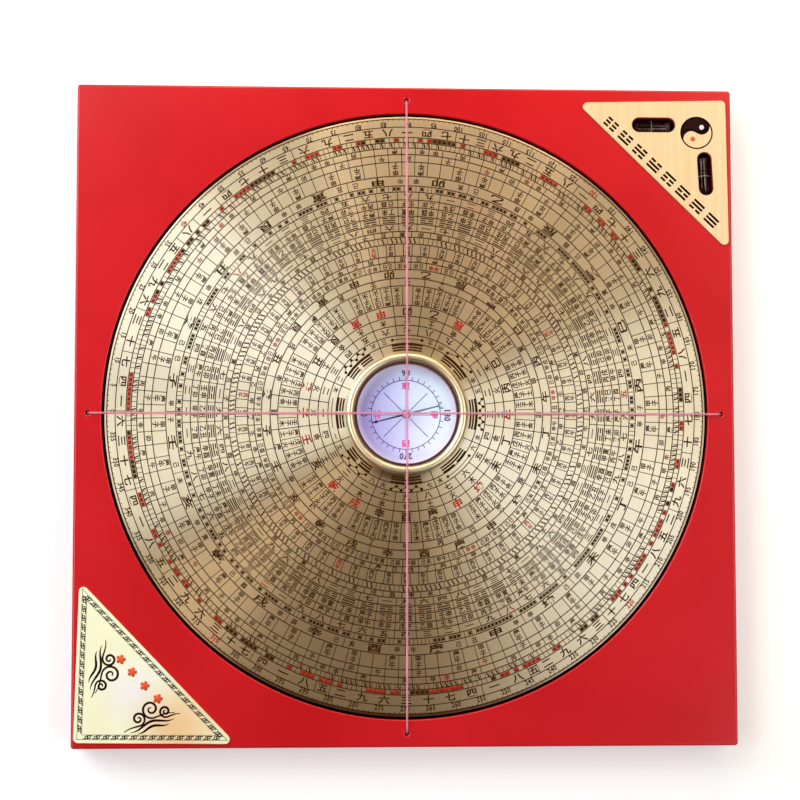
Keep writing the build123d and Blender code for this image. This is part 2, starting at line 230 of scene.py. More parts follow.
class Ink:
    """Marks printed on one flat face, as closed prisms a few hundredths of a millimetre proud."""

    def __init__(self, name: str, face_z: float, thickness: float = INK_THICKNESS) -> None:
        """Starts an empty print.

        Args:
            name: the piece's name.
            face_z: the height of the face that it lies on.
            thickness: how far the ink stands above the face.
        """
        self.name = name
        self.low = face_z - INK_BURIED
        self.high = face_z + thickness
        self.points: list[Array] = []
        self.triangles: list[Array] = []
        self.count = 0

    def add(self, points: Array, triangles: Array) -> None:
        """Adds a closed solid, or many alike.

        Args:
            points: (..., V, 3) places.
            triangles: (T, 3) point numbers within one solid.
        """
        solids = points.reshape(-1, points.shape[-2], 3)
        start = self.count + np.arange(len(solids)) * solids.shape[1]
        self.points.append(solids.reshape(-1, 3))
        self.triangles.append((triangles[None] + start[:, None, None]).reshape(-1, 3))
        self.count += solids.shape[0] * solids.shape[1]

    def stamp(self, shape: FlatShape, centres: Array, across: Array, upward: Array) -> None:
        """Prints a shape at many places: a plan point is centre + u * across + v * upward.

        The prism is the shape at the low and the high level, with a wall along its rim.

        Args:
            shape: what is printed, with its own u and v.
            centres: (N, 2) middles.
            across: (N, 2) where the shape's u axis runs, with its scale.
            upward: (N, 2) where the shape's v axis runs, with its scale.
        """
        centres, across, upward = (np.reshape(item, (-1, 1, 2)) for item in (centres, across, upward))
        plan = centres + shape.points[None, :, :1] * across + shape.points[None, :, 1:] * upward
        levels = np.stack([np.full(plan.shape[:2], self.low), np.full(plan.shape[:2], self.high)])
        points = np.concatenate([np.dstack([plan, level]) for level in levels], axis=1)
        count = len(shape.points)
        start, end = shape.rim.T
        wall = np.concatenate([
            np.stack([start, end, end + count], axis=1),
            np.stack([start, end + count, start + count], axis=1),
        ])
        self.add(points, np.concatenate([shape.triangles + count, shape.triangles[:, ::-1], wall]))

    def bars(self, starts: Array, ends: Array, width: float) -> None:
        """Prints straight bars from starts to ends, longer by half a width at each end.

        Args:
            starts: (N, 2) points.
            ends: (N, 2) points.
            width: the bars' width.
        """
        starts, ends = np.reshape(starts, (-1, 2)), np.reshape(ends, (-1, 2))
        runs = ends - starts
        along = runs / np.linalg.norm(runs, axis=1, keepdims=True)
        self.stamp(SQUARE, (starts + ends) / 2, runs + along * width, quarter_turn(along) * width)

    def band(self, left: Array, right: Array, closed: bool = False) -> None:
        """Prints bands between pairs of lines.

        Every station has four corners, and four flat sides join it to the next. Bands that
        don't close on themselves get a face at each end.

        Args:
            left: (..., S, 2) stations on the left of the way along.
            right: (..., S, 2) stations on the right.
            closed: whether the last station joins the first.
        """
        stations = left.shape[-2]
        low, high = np.full(left.shape[:-1] + (1,), self.low), np.full(left.shape[:-1] + (1,), self.high)
        corners = [
            np.concatenate([line, level], axis=-1)
            for line, level in ((left, low), (right, low), (right, high), (left, high))
        ]
        points = np.stack(corners, axis=-2).reshape(left.shape[:-2] + (stations * 4, 3))
        here = np.arange(stations if closed else stations - 1)[:, None]
        there = (here + 1) % stations
        corner = np.arange(4)[None]
        turned = (corner + 1) % 4
        a, b, c, d = (here * 4 + corner, there * 4 + corner, there * 4 + turned, here * 4 + turned)
        faces = [np.stack([a, b, c], axis=-1).reshape(-1, 3), np.stack([a, c, d], axis=-1).reshape(-1, 3)]
        if not closed:
            last = (stations - 1) * 4
            faces.append(np.array([[0, 1, 2], [0, 2, 3], [last + 3, last + 2, last + 1], [last + 3, last + 1, last]]))
        self.add(points, np.concatenate(faces))

    def arcs(self, inner: Array, outer: Array, start: Array, end: Array, steps: int = 1) -> None:
        """Prints arcs between two radii and two bearings, all about the dial's middle.

        Args:
            inner: inner radii.
            outer: outer radii.
            start: the lower bearings.
            end: the higher bearings.
            steps: how many flats each arc has.
        """
        inner, outer, start, end = (np.ravel(item)[:, None] for item in np.broadcast_arrays(inner, outer, start, end))
        bearings = start + (end - start) * np.linspace(0, 1, steps + 1)[None]
        self.band(at_bearing(inner, bearings), at_bearing(outer, bearings))

    def circle(self, radius: float, width: float, centre: tuple[float, float] = (0, 0), flats: int = 240) -> None:
        """Prints a circular line.

        Args:
            radius: the radius of the line's middle.
            width: the line's width.
            centre: the circle's middle.
            flats: how many flats it has.
        """
        bearings = np.arange(flats) * 360 / flats
        inner, outer = (at_bearing(radius + side * width / 2, bearings) + centre for side in (-1, 1))
        self.band(inner, outer, closed=True)

    def line(self, path: Array, half_width: Array) -> None:
        """Prints a line of changing width along a path: each station moves to both sides of it.

        Args:
            path: (S, 2) points.
            half_width: (S,) half widths.
        """
        along = np.gradient(path, axis=0)
        aside = quarter_turn(along / np.linalg.norm(along, axis=1, keepdims=True)) * half_width[:, None]
        self.band(path + aside, path - aside)

    def piece(self, body: str, material: bpy.types.Material) -> bpy.types.Object:
        """Makes the print a piece that rides on a body."""
        mesh = triangle_mesh(self.name, np.concatenate(self.points), np.concatenate(self.triangles))
        return place_piece(mesh, body, material)


class Script(Enum):
    """The middle and the span of a glyph's box in a font of size one."""

    HAN = ((0.50, 0.35), (0.92, 0.88))
    DIGIT = ((0.25, 0.34), (0.46, 0.70))


class Reading(Enum):
    """Which way the tops of the letters point."""

    INWARD = -1
    OUTWARD = 1


class TypeCase:
    """The glyphs that the prints use, each made a flat shape once."""

    curve_steps = 2
    boldness = 0.03

    def __init__(self) -> None:
        """Starts an empty case."""
        self.shapes: dict[str, FlatShape] = {}

    def shape(self, letter: str) -> FlatShape:
        """The glyph of a letter, scaled so that its box is one unit wide and high.

        Args:
            letter: a digit, or a character that counts or gives a direction.

        Returns:
            Its filled outline about the box's middle.
        """
        if letter not in self.shapes:
            curve = bpy.data.curves.new("glyph", "FONT")
            curve.body = letter
            curve.resolution_u = self.curve_steps
            curve.offset = self.boldness
            holder = bpy.data.objects.new("glyph", curve)
            mesh = holder.to_mesh()
            mesh.calc_loop_triangles()
            points = np.empty(len(mesh.vertices) * 3)
            mesh.vertices.foreach_get("co", points)
            triangles = np.empty(len(mesh.loop_triangles) * 3, dtype=int)
            mesh.loop_triangles.foreach_get("vertices", triangles)
            middle, span = (Script.DIGIT if letter.isascii() else Script.HAN).value
            plan = (points.reshape(-1, 3)[:, :2] - middle) / span
            self.shapes[letter] = FlatShape(plan, triangles.reshape(-1, 3))
            holder.to_mesh_clear()
            bpy.data.objects.remove(holder)
            bpy.data.curves.remove(curve)
        return self.shapes[letter]


class Lettering:
    """Letters waiting to be printed with one ink, kept by glyph."""

    def __init__(self, case: TypeCase, ink: Ink) -> None:
        """Starts with no letters.

        Args:
            case: where the glyphs come from.
            ink: where they are printed.
        """
        self.case = case
        self.ink = ink
        self.waiting: dict[str, list[Array]] = {}

    def letter(self, letter: str, radius: float, bearing: float, size: tuple[float, float],
               reading: Reading = Reading.INWARD) -> None:
        """Sets one letter at a radius and bearing.

        Args:
            letter: the letter.
            radius: the radius of its middle.
            bearing: the bearing of its middle.
            size: its width and height.
            reading: which way its top points.
        """
        outward = at_bearing(1.0, bearing)
        upward = outward * reading.value
        across = -quarter_turn(upward)
        place = np.stack([outward * radius, across * size[0], upward * size[1]])
        self.waiting.setdefault(letter, []).append(place)

    def row(self, word: str, radius: float, bearing: float, size: tuple[float, float], pitch: float,
            reading: Reading = Reading.INWARD) -> None:
        """Sets a word along the ring, its letters a pitch apart on a common radius."""
        for number, letter in enumerate(word):
            shift = (number - (len(word) - 1) / 2) * pitch
            step = np.degrees(shift / radius) * -reading.value
            self.letter(letter, radius, bearing + step, size, reading)

    def column(self, word: str, radius: float, bearing: float, size: tuple[float, float], pitch: float) -> None:
        """Sets a word outwards from the dial's middle, its letters a pitch apart."""
        for number, letter in enumerate(word):
            self.letter(letter, radius + (number - (len(word) - 1) / 2) * pitch, bearing, size)

    def press(self) -> None:
        """Prints every waiting letter."""
        for letter, places in self.waiting.items():
            centres, across, upward = np.stack(places, axis=1)
            self.ink.stamp(self.case.shape(letter), centres, across, upward)


# Finishes


@dataclass(frozen=True)
class Finish:
    """A material as constants of the Principled shader, with a pattern of its own.

    Args:
        title: the material's name.
        colour: sRGB hex value.
        roughness: of the main layer.
        metallic: one for metal.
        ior: index of refraction; a metal keeps the default.
        coat: weight of a clear layer on top.
        coat_roughness: of that layer.
        transmission: one for glass.
    """

    title: str = "plain"
    colour: str = "808080"
    roughness: float = 0.5
    metallic: float = 0.0
    ior: float = 1.5
    coat: float = 0.0
    coat_roughness: float = 0.05
    transmission: float = 0.0

    def material(self) -> bpy.types.Material:
        """Makes the material.

        Returns:
            The new material, with the shader's constants set and the pattern linked.
        """
        material = bpy.data.materials.new(self.title)
        material.use_nodes = True
        tree = material.node_tree
        tree.nodes.clear()
        shader = add_node(tree, "ShaderNodeBsdfPrincipled", {
            "Base Color": linear(self.colour),
            "Roughness": self.roughness,
            "Metallic": self.metallic,
            "IOR": self.ior,
            "Coat Weight": self.coat,
            "Coat Roughness": self.coat_roughness,
            "Transmission Weight": self.transmission,
        })
        self.pattern(tree, shader)
        add_node(tree, "ShaderNodeOutputMaterial", {"Surface": self.surface(tree, shader)})
        return material

    def pattern(self, tree: bpy.types.NodeTree, shader: bpy.types.Node) -> None:
        """Links what varies over the surface."""

    def surface(self, tree: bpy.types.NodeTree, shader: bpy.types.Node) -> bpy.types.NodeSocket:
        """The socket that the output takes."""
        return shader.outputs["BSDF"]

    def noise(self, tree: bpy.types.NodeTree, grain: tuple[float, float, float], detail: float = 3.0) -> bpy.types.NodeSocket:
        """Noise in object space, its grain given in millimetres along each axis.

        Args:
            tree: the node tree.
            grain: size of the noise's lumps along x, y and z.
            detail: how many finer layers it has.

        Returns:
            The noise's value, about one half on average.
        """
        point = add_node(tree, "ShaderNodeTexCoord").outputs["Object"]
        scale = tuple(1 / (size * MM) for size in grain)
        scaled = add_node(tree, "ShaderNodeMapping", {"Vector": point, "Scale": scale})
        noise = add_node(tree, "ShaderNodeTexNoise", {"Vector": scaled.outputs["Vector"], "Scale": 1.0, "Detail": detail})
        return noise.outputs["Fac"]

    def between(self, tree: bpy.types.NodeTree, factor: bpy.types.NodeSocket, low: str, high: str) -> bpy.types.NodeSocket:
        """A colour that runs from one hex value to another as the factor goes from 0.3 to 0.7."""
        share = self.span(tree, factor, 0.0, 1.0)
        mix = add_node(tree, "ShaderNodeMix", {"Factor": share, 6: linear(low), 7: linear(high)}, data_type="RGBA")
        return mix.outputs[2]

    def span(self, tree: bpy.types.NodeTree, factor: bpy.types.NodeSocket, low: float, high: float) -> bpy.types.NodeSocket:
        """A value that runs from low to high as the factor goes from 0.3 to 0.7."""
        inputs = {"Value": factor, "From Min": 0.3, "From Max": 0.7, "To Min": low, "To Max": high}
        return add_node(tree, "ShaderNodeMapRange", inputs).outputs["Result"]

    def relief(self, tree: bpy.types.NodeTree, shader: bpy.types.Node, height: bpy.types.NodeSocket, depth: float) -> None:
        """Links a bump whose height of one stands a depth in millimetres above zero."""
        bump = add_node(tree, "ShaderNodeBump", {"Height": height, "Distance": depth * MM, "Strength": 1.0})
        tree.links.new(bump.outputs["Normal"], shader.inputs["Normal"])


@dataclass(frozen=True)
class RedLacquer(Finish):
    """Polyester lacquer sprayed on board: deep red, glossy, with a faint orange-peel skin."""

    title: str = "sprayed red polyester lacquer"
    colour: str = "C91A20"
    roughness: float = 0.2
    ior: float = 1.45
    coat: float = 0.2
    coat_roughness: float = 0.14
    deep: str = "C1161C"
    light: str = "D11E26"
    # painted shade: the near-black colour of the hollows, pockets and holes below the lip height
    primer: str = "280808"
    lip_height: float = 17.0
    foot_height: float = 0.5
    inner_half: float = 141.5

    def pattern(self, tree: bpy.types.NodeTree, shader: bpy.types.Node) -> None:
        """Clouds of 70 mm in the colour, and an orange peel of 2 mm lumps. Below the lip the hollows get a near-black
        painted shade.
        """
        clouds = self.noise(tree, (70, 70, 70), 2)
        sprayed = self.between(tree, clouds, self.deep, self.light)
        # painted shade replaces the sprayed red inside the hollows
        mix = add_node(tree, "ShaderNodeMix", {"Factor": self.hollow(tree), 6: sprayed, 7: linear(self.primer)}, data_type="RGBA")
        tree.links.new(mix.outputs[2], shader.inputs["Base Color"])
        peel = self.noise(tree, (2.2, 2.2, 2.2), 1)
        self.relief(tree, shader, peel, 0.006)

    def hollow(self, tree: bpy.types.NodeTree) -> bpy.types.NodeSocket:
        """Where the painted shade goes: one where |x| and |y| are inside the rim and z is between the foot and the lip;
        otherwise zero.
        """
        point = add_node(tree, "ShaderNodeTexCoord").outputs["Object"]
        size = add_node(tree, "ShaderNodeVectorMath", {0: point}, operation="ABSOLUTE")
        parts = add_node(tree, "ShaderNodeSeparateXYZ", {"Vector": size.outputs["Vector"]})
        reach = add_node(tree, "ShaderNodeMath", {0: parts.outputs["X"], 1: parts.outputs["Y"]}, operation="MAXIMUM")
        limits = (
            (reach.outputs["Value"], self.inner_half, "LESS_THAN"),
            (parts.outputs["Z"], self.lip_height, "LESS_THAN"),
            (parts.outputs["Z"], self.foot_height, "GREATER_THAN"),
        )
        within = [add_node(tree, "ShaderNodeMath", {0: value, 1: limit * MM}, operation=test).outputs["Value"]
                  for value, limit, test in limits]
        plan = add_node(tree, "ShaderNodeMath", {0: within[0], 1: within[1]}, operation="MULTIPLY")
        return add_node(tree, "ShaderNodeMath", {0: plan.outputs["Value"], 1: within[2]}, operation="MULTIPLY").outputs["Value"]


@dataclass(frozen=True)
class SpunBrass(Finish):
    """Brass sheet brushed on a turntable: fine round scratches that spread light along each radius."""

    title: str = "spun-brushed brass"
    colour: str = "ECDCBE"
    roughness: float = 0.36
    metallic: float = 1.0
    dark: str = "E6D4B2"
    light: str = "F2E5CA"
    anisotropy: float = 1.0
    # painted shade: the darker colour of the bevelled rim, outside the bevel radius
    bevel: str = "D8C6A4"
    bevel_radius: float = 128.6

    def pattern(self, tree: bpy.types.NodeTree, shader: bpy.types.Node) -> None:
        """Scratches as noise of the radius alone, drawn 0.35 mm wide so that they show, and a darker colour on the
        bevel as painted shade.
        """
        shader.inputs["Anisotropic"].default_value = self.anisotropy
        shader.inputs["Anisotropic Rotation"].default_value = 0.25
        around = add_node(tree, "ShaderNodeTangent", direction_type="RADIAL", axis="Z")
        tree.links.new(around.outputs["Tangent"], shader.inputs["Tangent"])
        point = add_node(tree, "ShaderNodeTexCoord").outputs["Object"]
        plan = add_node(tree, "ShaderNodeVectorMath", {0: point, 1: (1.0, 1.0, 0.0)}, operation="MULTIPLY")
        radius = add_node(tree, "ShaderNodeVectorMath", {0: plan.outputs["Vector"]}, operation="LENGTH")
        groove = add_node(tree, "ShaderNodeTexNoise", {"W": radius.outputs["Value"], "Scale": 1 / (0.35 * MM), "Detail": 2.0},
                          noise_dimensions="1D")
        sheet = self.between(tree, groove.outputs["Fac"], self.dark, self.light)
        # painted shade on the bevel, past the bevel radius
        outside = add_node(tree, "ShaderNodeMath", {0: radius.outputs["Value"], 1: self.bevel_radius * MM},
                           operation="GREATER_THAN")
        mix = add_node(tree, "ShaderNodeMix", {"Factor": outside.outputs["Value"], 6: sheet, 7: linear(self.bevel)},
                       data_type="RGBA")
        tree.links.new(mix.outputs[2], shader.inputs["Base Color"])
        tree.links.new(self.span(tree, groove.outputs["Fac"], self.roughness - 0.03, self.roughness + 0.03),
                       shader.inputs["Roughness"])


@dataclass(frozen=True)
class TurnedBrass(Finish):
    """Brass bar turned and polished on a lathe: bright, with the last faint tool lines."""

    title: str = "turned and polished brass"
    colour: str = "F0DEBA"
    roughness: float = 0.36
    metallic: float = 1.0

    def pattern(self, tree: bpy.types.NodeTree, shader: bpy.types.Node) -> None:
        """Roughness that drifts with handling, in patches of 4 mm."""
        patches = self.noise(tree, (4, 4, 4), 3)
        tree.links.new(self.span(tree, patches, self.roughness - 0.03, self.roughness + 0.05), shader.inputs["Roughness"])


@dataclass(frozen=True)
class BrushedGold(Finish):
    """Gold-anodised aluminium sheet brushed straight: pale, with soft streaks along one edge."""

    title: str = "brushed gold-anodised aluminium"
    colour: str = "EFD5A8"
    roughness: float = 0.42
    metallic: float = 0.5
    dark: str = "EACE9F"
    light: str = "F2DAB0"

    def pattern(self, tree: bpy.types.NodeTree, shader: bpy.types.Node) -> None:
        """Streaks 1.4 mm wide and 60 mm long, with finer ones of 0.5 mm in the roughness."""
        streaks = self.noise(tree, (1.4, 60, 60), 3)
        fine = self.noise(tree, (0.5, 30, 30), 2)
        tree.links.new(self.between(tree, streaks, self.dark, self.light), shader.inputs["Base Color"])
        tree.links.new(self.span(tree, fine, self.roughness - 0.06, self.roughness + 0.06), shader.inputs["Roughness"])


@dataclass(frozen=True)
class PolishedGold(Finish):
    """Gold-anodised aluminium sheet polished bright: pale cream, nearly a mirror."""

    title: str = "polished gold-anodised aluminium"
    colour: str = "FFFFD8"
    # painted reflection: the near-white colour of a patch on the face, fading to the cream around it
    pale: str = "FFFEF8"
    pale_middle: tuple[float, float] = (-116.0, -119.0)
    pale_reach: float = 22.0
    roughness: float = 0.4
    metallic: float = 0.25
    tan: str = "FAD09C"
    fade_middle: tuple[float, float] = (-98.0, -134.0)
    fade_reach: float = 26.0
    face_z: float = 20.8

    def pattern(self, tree: bpy.types.NodeTree, shader: bpy.types.Node) -> None:
        """Patches of 12 mm in the roughness, a warmer tan tone towards one tip, and a near-white painted reflection
        around one place on the face.
        """
        patches = self.noise(tree, (12, 12, 12), 2)
        tan_tip = self.within(tree, self.fade_middle, self.fade_reach)
        # painted reflection: near-white in the middle of its patch, fading out at its reach
        bright = self.within(tree, self.pale_middle, self.pale_reach)
        cream = add_node(tree, "ShaderNodeMix", {"Factor": bright, 6: linear(self.colour), 7: linear(self.pale)},
                         data_type="RGBA")
        mix = add_node(tree, "ShaderNodeMix", {"Factor": tan_tip, 6: cream.outputs[2], 7: linear(self.tan)},
                       data_type="RGBA")
        tree.links.new(mix.outputs[2], shader.inputs["Base Color"])
        tree.links.new(self.span(tree, patches, self.roughness - 0.04, self.roughness + 0.04), shader.inputs["Roughness"])

    def within(self, tree: bpy.types.NodeTree, middle: tuple[float, float], reach: float) -> bpy.types.NodeSocket:
        """One at a place on the plate's face, falling smoothly to zero at the reach around it."""
        point = add_node(tree, "ShaderNodeTexCoord").outputs["Object"]
        place = tuple(np.array(middle + (self.face_z,)) * MM)
        away = add_node(tree, "ShaderNodeVectorMath", {0: point, 1: place}, operation="DISTANCE")
        inputs = {"Value": away.outputs["Value"], "From Min": 0.0, "From Max": reach * MM, "To Min": 1.0, "To Max": 0.0}
        return add_node(tree, "ShaderNodeMapRange", inputs, interpolation_type="SMOOTHSTEP").outputs["Result"]


@dataclass(frozen=True)
class PrintInk(Finish):
    """Screen-printed enamel ink, thin enough for its colour to vary a little."""

    title: str = "screen-printed enamel ink"
    colour: str = "3A2004"
    roughness: float = 0.85
    ior: float = 1.15
    thin: str = "482A08"

    def pattern(self, tree: bpy.types.NodeTree, shader: bpy.types.Node) -> None:
        """The colour thins out in patches of 3 mm."""
        patches = self.noise(tree, (3, 3, 3), 2)
        tree.links.new(self.between(tree, patches, self.colour, self.thin), shader.inputs["Base Color"])


@dataclass(frozen=True)
class MottledSolid(Finish):
    """A moulded or coated material whose colour and gloss drift a little."""

    other: str = "808080"
    grain: float = 2.0
    bump: float = 0.0

    def pattern(self, tree: bpy.types.NodeTree, shader: bpy.types.Node) -> None:
        """Colour between two values, and a bump where the surface has one, of one grain."""
        lumps = self.noise(tree, (self.grain,) * 3, 3)
        tree.links.new(self.between(tree, lumps, self.colour, self.other), shader.inputs["Base Color"])
        if self.bump:
            self.relief(tree, shader, lumps, self.bump)


@dataclass(frozen=True)
class PearlCard(Finish):
    """A lilac card, violet-grey at one side as painted shade and nearly white at the other as a painted reflection."""

    title: str = "lilac card with painted shade and light"
    # colour: the card's lilac darkened as painted shade; light: a painted reflection, nearly white
    colour: str = "9A90CE"
    roughness: float = 0.6
    light: str = "E2F6F6"
    heading: float = 12.0
    reach: float = 20.0
    # rim: painted light that pales the card towards its edge, where the bezel's shadow falls
    rim: str = "D8D8F2"
    rim_inner: float = 18.5
    rim_outer: float = 22.0

    def pattern(self, tree: bpy.types.NodeTree, shader: bpy.types.Node) -> None:
        """The colour changes evenly on the way across, x cos h + y sin h, from painted shade to a painted reflection,
        and pales towards the rim as painted light over the bezel's shadow.
        """
        point = add_node(tree, "ShaderNodeTexCoord").outputs["Object"]
        ahead = tuple(at_bearing(1.0, self.heading)) + (0.0,)
        way = add_node(tree, "ShaderNodeVectorMath", {0: point, 1: ahead}, operation="DOT_PRODUCT")
        inputs = {"Value": way.outputs["Value"], "From Min": -self.reach * MM, "From Max": self.reach * MM}
        share = add_node(tree, "ShaderNodeMapRange", inputs)
        mix = add_node(tree, "ShaderNodeMix",
                       {"Factor": share.outputs["Result"], 6: linear(self.colour), 7: linear(self.light)}, data_type="RGBA")
        plan = add_node(tree, "ShaderNodeVectorMath", {0: point, 1: (1.0, 1.0, 0.0)}, operation="MULTIPLY")
        radius = add_node(tree, "ShaderNodeVectorMath", {0: plan.outputs["Vector"]}, operation="LENGTH")
        # painted light: the card pales between the two radii towards its rim
        inputs = {"Value": radius.outputs["Value"], "From Min": self.rim_inner * MM, "From Max": self.rim_outer * MM}
        outwards = add_node(tree, "ShaderNodeMapRange", inputs, interpolation_type="SMOOTHSTEP")
        card = add_node(tree, "ShaderNodeMix",
                        {"Factor": outwards.outputs["Result"], 6: mix.outputs[2], 7: linear(self.rim)}, data_type="RGBA")
        tree.links.new(card.outputs[2], shader.inputs["Base Color"])


@dataclass(frozen=True)
class ClearGlass(Finish):
    """Float glass or a clear liquid: light passes through it to what lies below."""

    roughness: float = 0.0
    transmission: float = 1.0

    def surface(self, tree: bpy.types.NodeTree, shader: bpy.types.Node) -> bpy.types.NodeSocket:
        """Shadow rays pass, because a thin clear pane casts next to no shadow."""
        path = add_node(tree, "ShaderNodeLightPath")
        clear = add_node(tree, "ShaderNodeBsdfTransparent")
        mix = add_node(tree, "ShaderNodeMixShader", {
            0: path.outputs["Is Shadow Ray"], 1: shader.outputs["BSDF"], 2: clear.outputs["BSDF"],
        })
        return mix.outputs["Shader"]


@dataclass(frozen=True)
class NeedleSteel(Finish):
    """Thin spring steel, blued on the half that points north and bare on the other."""

    title: str = "blued and bare spring steel"
    colour: str = "1A2440"
    bare: str = "4A6468"
    roughness: float = 0.45
    metallic: float = 0.5
    heading: float = 194.3

    def pattern(self, tree: bpy.types.NodeTree, shader: bpy.types.Node) -> None:
        """The colour changes where the way along the needle, x cos h + y sin h, passes zero."""
        point = add_node(tree, "ShaderNodeTexCoord").outputs["Object"]
        ahead = tuple(at_bearing(1.0, self.heading)) + (0.0,)
        way = add_node(tree, "ShaderNodeVectorMath", {0: point, 1: ahead}, operation="DOT_PRODUCT")
        north = add_node(tree, "ShaderNodeMath", {0: way.outputs["Value"], 1: 0.0}, operation="GREATER_THAN")
        mix = add_node(tree, "ShaderNodeMix",
                       {"Factor": north.outputs["Value"], 6: linear(self.bare), 7: linear(self.colour)}, data_type="RGBA")
        tree.links.new(mix.outputs[2], shader.inputs["Base Color"])


# Camera, lamps and floor


@dataclass(frozen=True)
class Softbox:
    """A square or oblong lamp that faces the object.

    Args:
        bearing: where it stands, seen from above.
        lean: its angle from straight overhead.
        distance: from the object's middle.
        size: its width across the line to the object, and its length along it.
        watts: its power.
        colour: the colour of its light.
    """

    bearing: float
    lean: float
    distance: float
    size: tuple[float, float]
    watts: float
    colour: str = "FFFFFF"

    def light(self, name: str) -> bpy.types.Object:
        """Makes the lamp: its own z axis points away from the object, its y axis runs up the lean."""
        lamp = bpy.data.lights.new(name, "AREA")
        lamp.shape = "RECTANGLE"
        lamp.size, lamp.size_y = (side * MM for side in self.size)
        lamp.energy = self.watts
        lamp.color = linear(self.colour)[:3]
        away = np.append(at_bearing(np.sin(np.radians(self.lean)), self.bearing), np.cos(np.radians(self.lean)))
        across = np.append(quarter_turn(at_bearing(1.0, self.bearing)), 0.0)
        turn = Matrix(np.stack([across, np.cross(away, across), away], axis=1).tolist())
        holder = bpy.data.objects.new(name, lamp)
        bpy.context.scene.collection.objects.link(holder)
        holder.matrix_world = Matrix.Translation(Vector(away * self.distance * MM)) @ turn.to_4x4()
        return holder


@dataclass
class Studio:
    """The camera above the board, soft lamps and a plain pale floor."""

    lens: float = 90.0
    sensor: float = 36.0
    camera_place: tuple[float, float, float] = (-46.15, -54.51, 881.93)
    camera_aim: tuple[float, float, float] = (-2.93, 5.90, 20.0)
    camera_roll: float = -0.04
    sky: float = 0.05
    sky_colour: str = "FFC48C"
    floor_half: float = 8000.0
    floor_colour: str = "F2F2F2"
    floor_lift: float = 0.30
    floor_near: float = 450.0
    floor_far: float = 1600.0
    lamps: dict[str, Softbox] = field(default_factory=lambda: {
        "key": Softbox(144, 36, 1250, (460, 500), 3.2, "E8F2FF"),
        "side": Softbox(186, 36, 1250, (400, 500), 3.0, "EEF8FF"),
        "wall": Softbox(150, 64, 1250, (920, 600), 8.0, "E8F4FF"),
        "fill": Softbox(111, 36, 1250, (384, 500), 1.75, "FFF2DC"),
        "low": Softbox(221, 36, 1250, (270, 500), 1.15, "FFE4C4"),
        "right": Softbox(330, 36, 1250, (700, 500), 3.2, "F0F8FF"),
        "front": Softbox(8, 36, 1250, (384, 500), 1.95, "FCF8F0"),
        "near": Softbox(40, 36, 1250, (480, 500), 1.45, "FFECCE"),
        "back": Softbox(80, 61, 520, (420, 160), 1.35, "FFE6C8"),
    })

    def camera(self) -> None:
        """Puts the camera where the photograph was taken from, with the board's far side up."""
        data = bpy.data.cameras.new("camera")
        data.lens = self.lens
        data.sensor_width = self.sensor
        place, aim = (np.array(point) for point in (self.camera_place, self.camera_aim))
        back = (place - aim) / np.linalg.norm(place - aim)
        right = np.cross([0, 1, 0], back)
        right /= np.linalg.norm(right)
        level = Matrix(np.stack([right, np.cross(back, right), back], axis=1).tolist())
        holder = bpy.data.objects.new("camera", data)
        bpy.context.scene.collection.objects.link(holder)
        roll = Matrix.Rotation(np.radians(self.camera_roll), 3, "Z")
        holder.matrix_world = Matrix.Translation(Vector(place * MM)) @ (level @ roll).to_4x4()
        bpy.context.scene.camera = holder

    def surroundings(self) -> None:
        """Lights the stage: a grey sky, the lamps, and a floor that shows white with a soft shadow."""
        scene = bpy.context.scene
        scene.view_settings.view_transform = "Standard"
        world = bpy.data.worlds.new("studio")
        world.use_nodes = True
        scene.world = world
        world.node_tree.nodes["Background"].inputs["Strength"].default_value = self.sky
        world.node_tree.nodes["Background"].inputs["Color"].default_value = linear(self.sky_colour)
        for name, lamp in self.lamps.items():
            lamp.light(name)
        corners = np.array([[-1, -1], [1, -1], [1, 1], [-1, 1]]) * self.floor_half
        mesh = triangle_mesh("floor", np.pad(corners, ((0, 0), (0, 1))), np.array([[0, 1, 2], [0, 2, 3]]))
        floor = bpy.data.objects.new("floor", mesh)
        bpy.context.scene.collection.objects.link(floor)
        mesh.materials.append(self.floor_material())

    def floor_material(self) -> bpy.types.Material:
        """Matt white paper; what the camera, metal and glass see of it is lifted to white.

        The lift grows smoothly with the distance from the object, where the lamps no longer reach.
        """
        material = bpy.data.materials.new("matt white paper")
        material.use_nodes = True
        tree = material.node_tree
        tree.nodes.clear()
        paper = add_node(tree, "ShaderNodeBsdfDiffuse", {"Color": linear(self.floor_colour)})
        path = add_node(tree, "ShaderNodeLightPath")
        direct = add_node(tree, "ShaderNodeMath", {0: path.outputs["Is Camera Ray"], 1: path.outputs["Is Glossy Ray"]},
                          operation="MAXIMUM")
        seen = add_node(tree, "ShaderNodeMath", {0: direct.outputs["Value"], 1: path.outputs["Is Transmission Ray"]},
                        operation="MAXIMUM")
        point = add_node(tree, "ShaderNodeTexCoord").outputs["Object"]
        away = add_node(tree, "ShaderNodeVectorMath", {0: point}, operation="LENGTH")
        inputs = {"Value": away.outputs["Value"], "From Min": self.floor_near * MM, "From Max": self.floor_far * MM,
                  "To Min": self.floor_lift, "To Max": 1.0}
        glow_here = add_node(tree, "ShaderNodeMapRange", inputs, interpolation_type="SMOOTHSTEP")
        lift = add_node(tree, "ShaderNodeMath", {0: seen.outputs["Value"], 1: glow_here.outputs["Result"]},
                        operation="MULTIPLY")
        glow = add_node(tree, "ShaderNodeEmission", {"Strength": lift.outputs["Value"]})
        both = add_node(tree, "ShaderNodeAddShader", {0: paper.outputs["BSDF"], 1: glow.outputs["Emission"]})
        add_node(tree, "ShaderNodeOutputMaterial", {"Surface": both.outputs["Shader"]})
        return material


# Threads


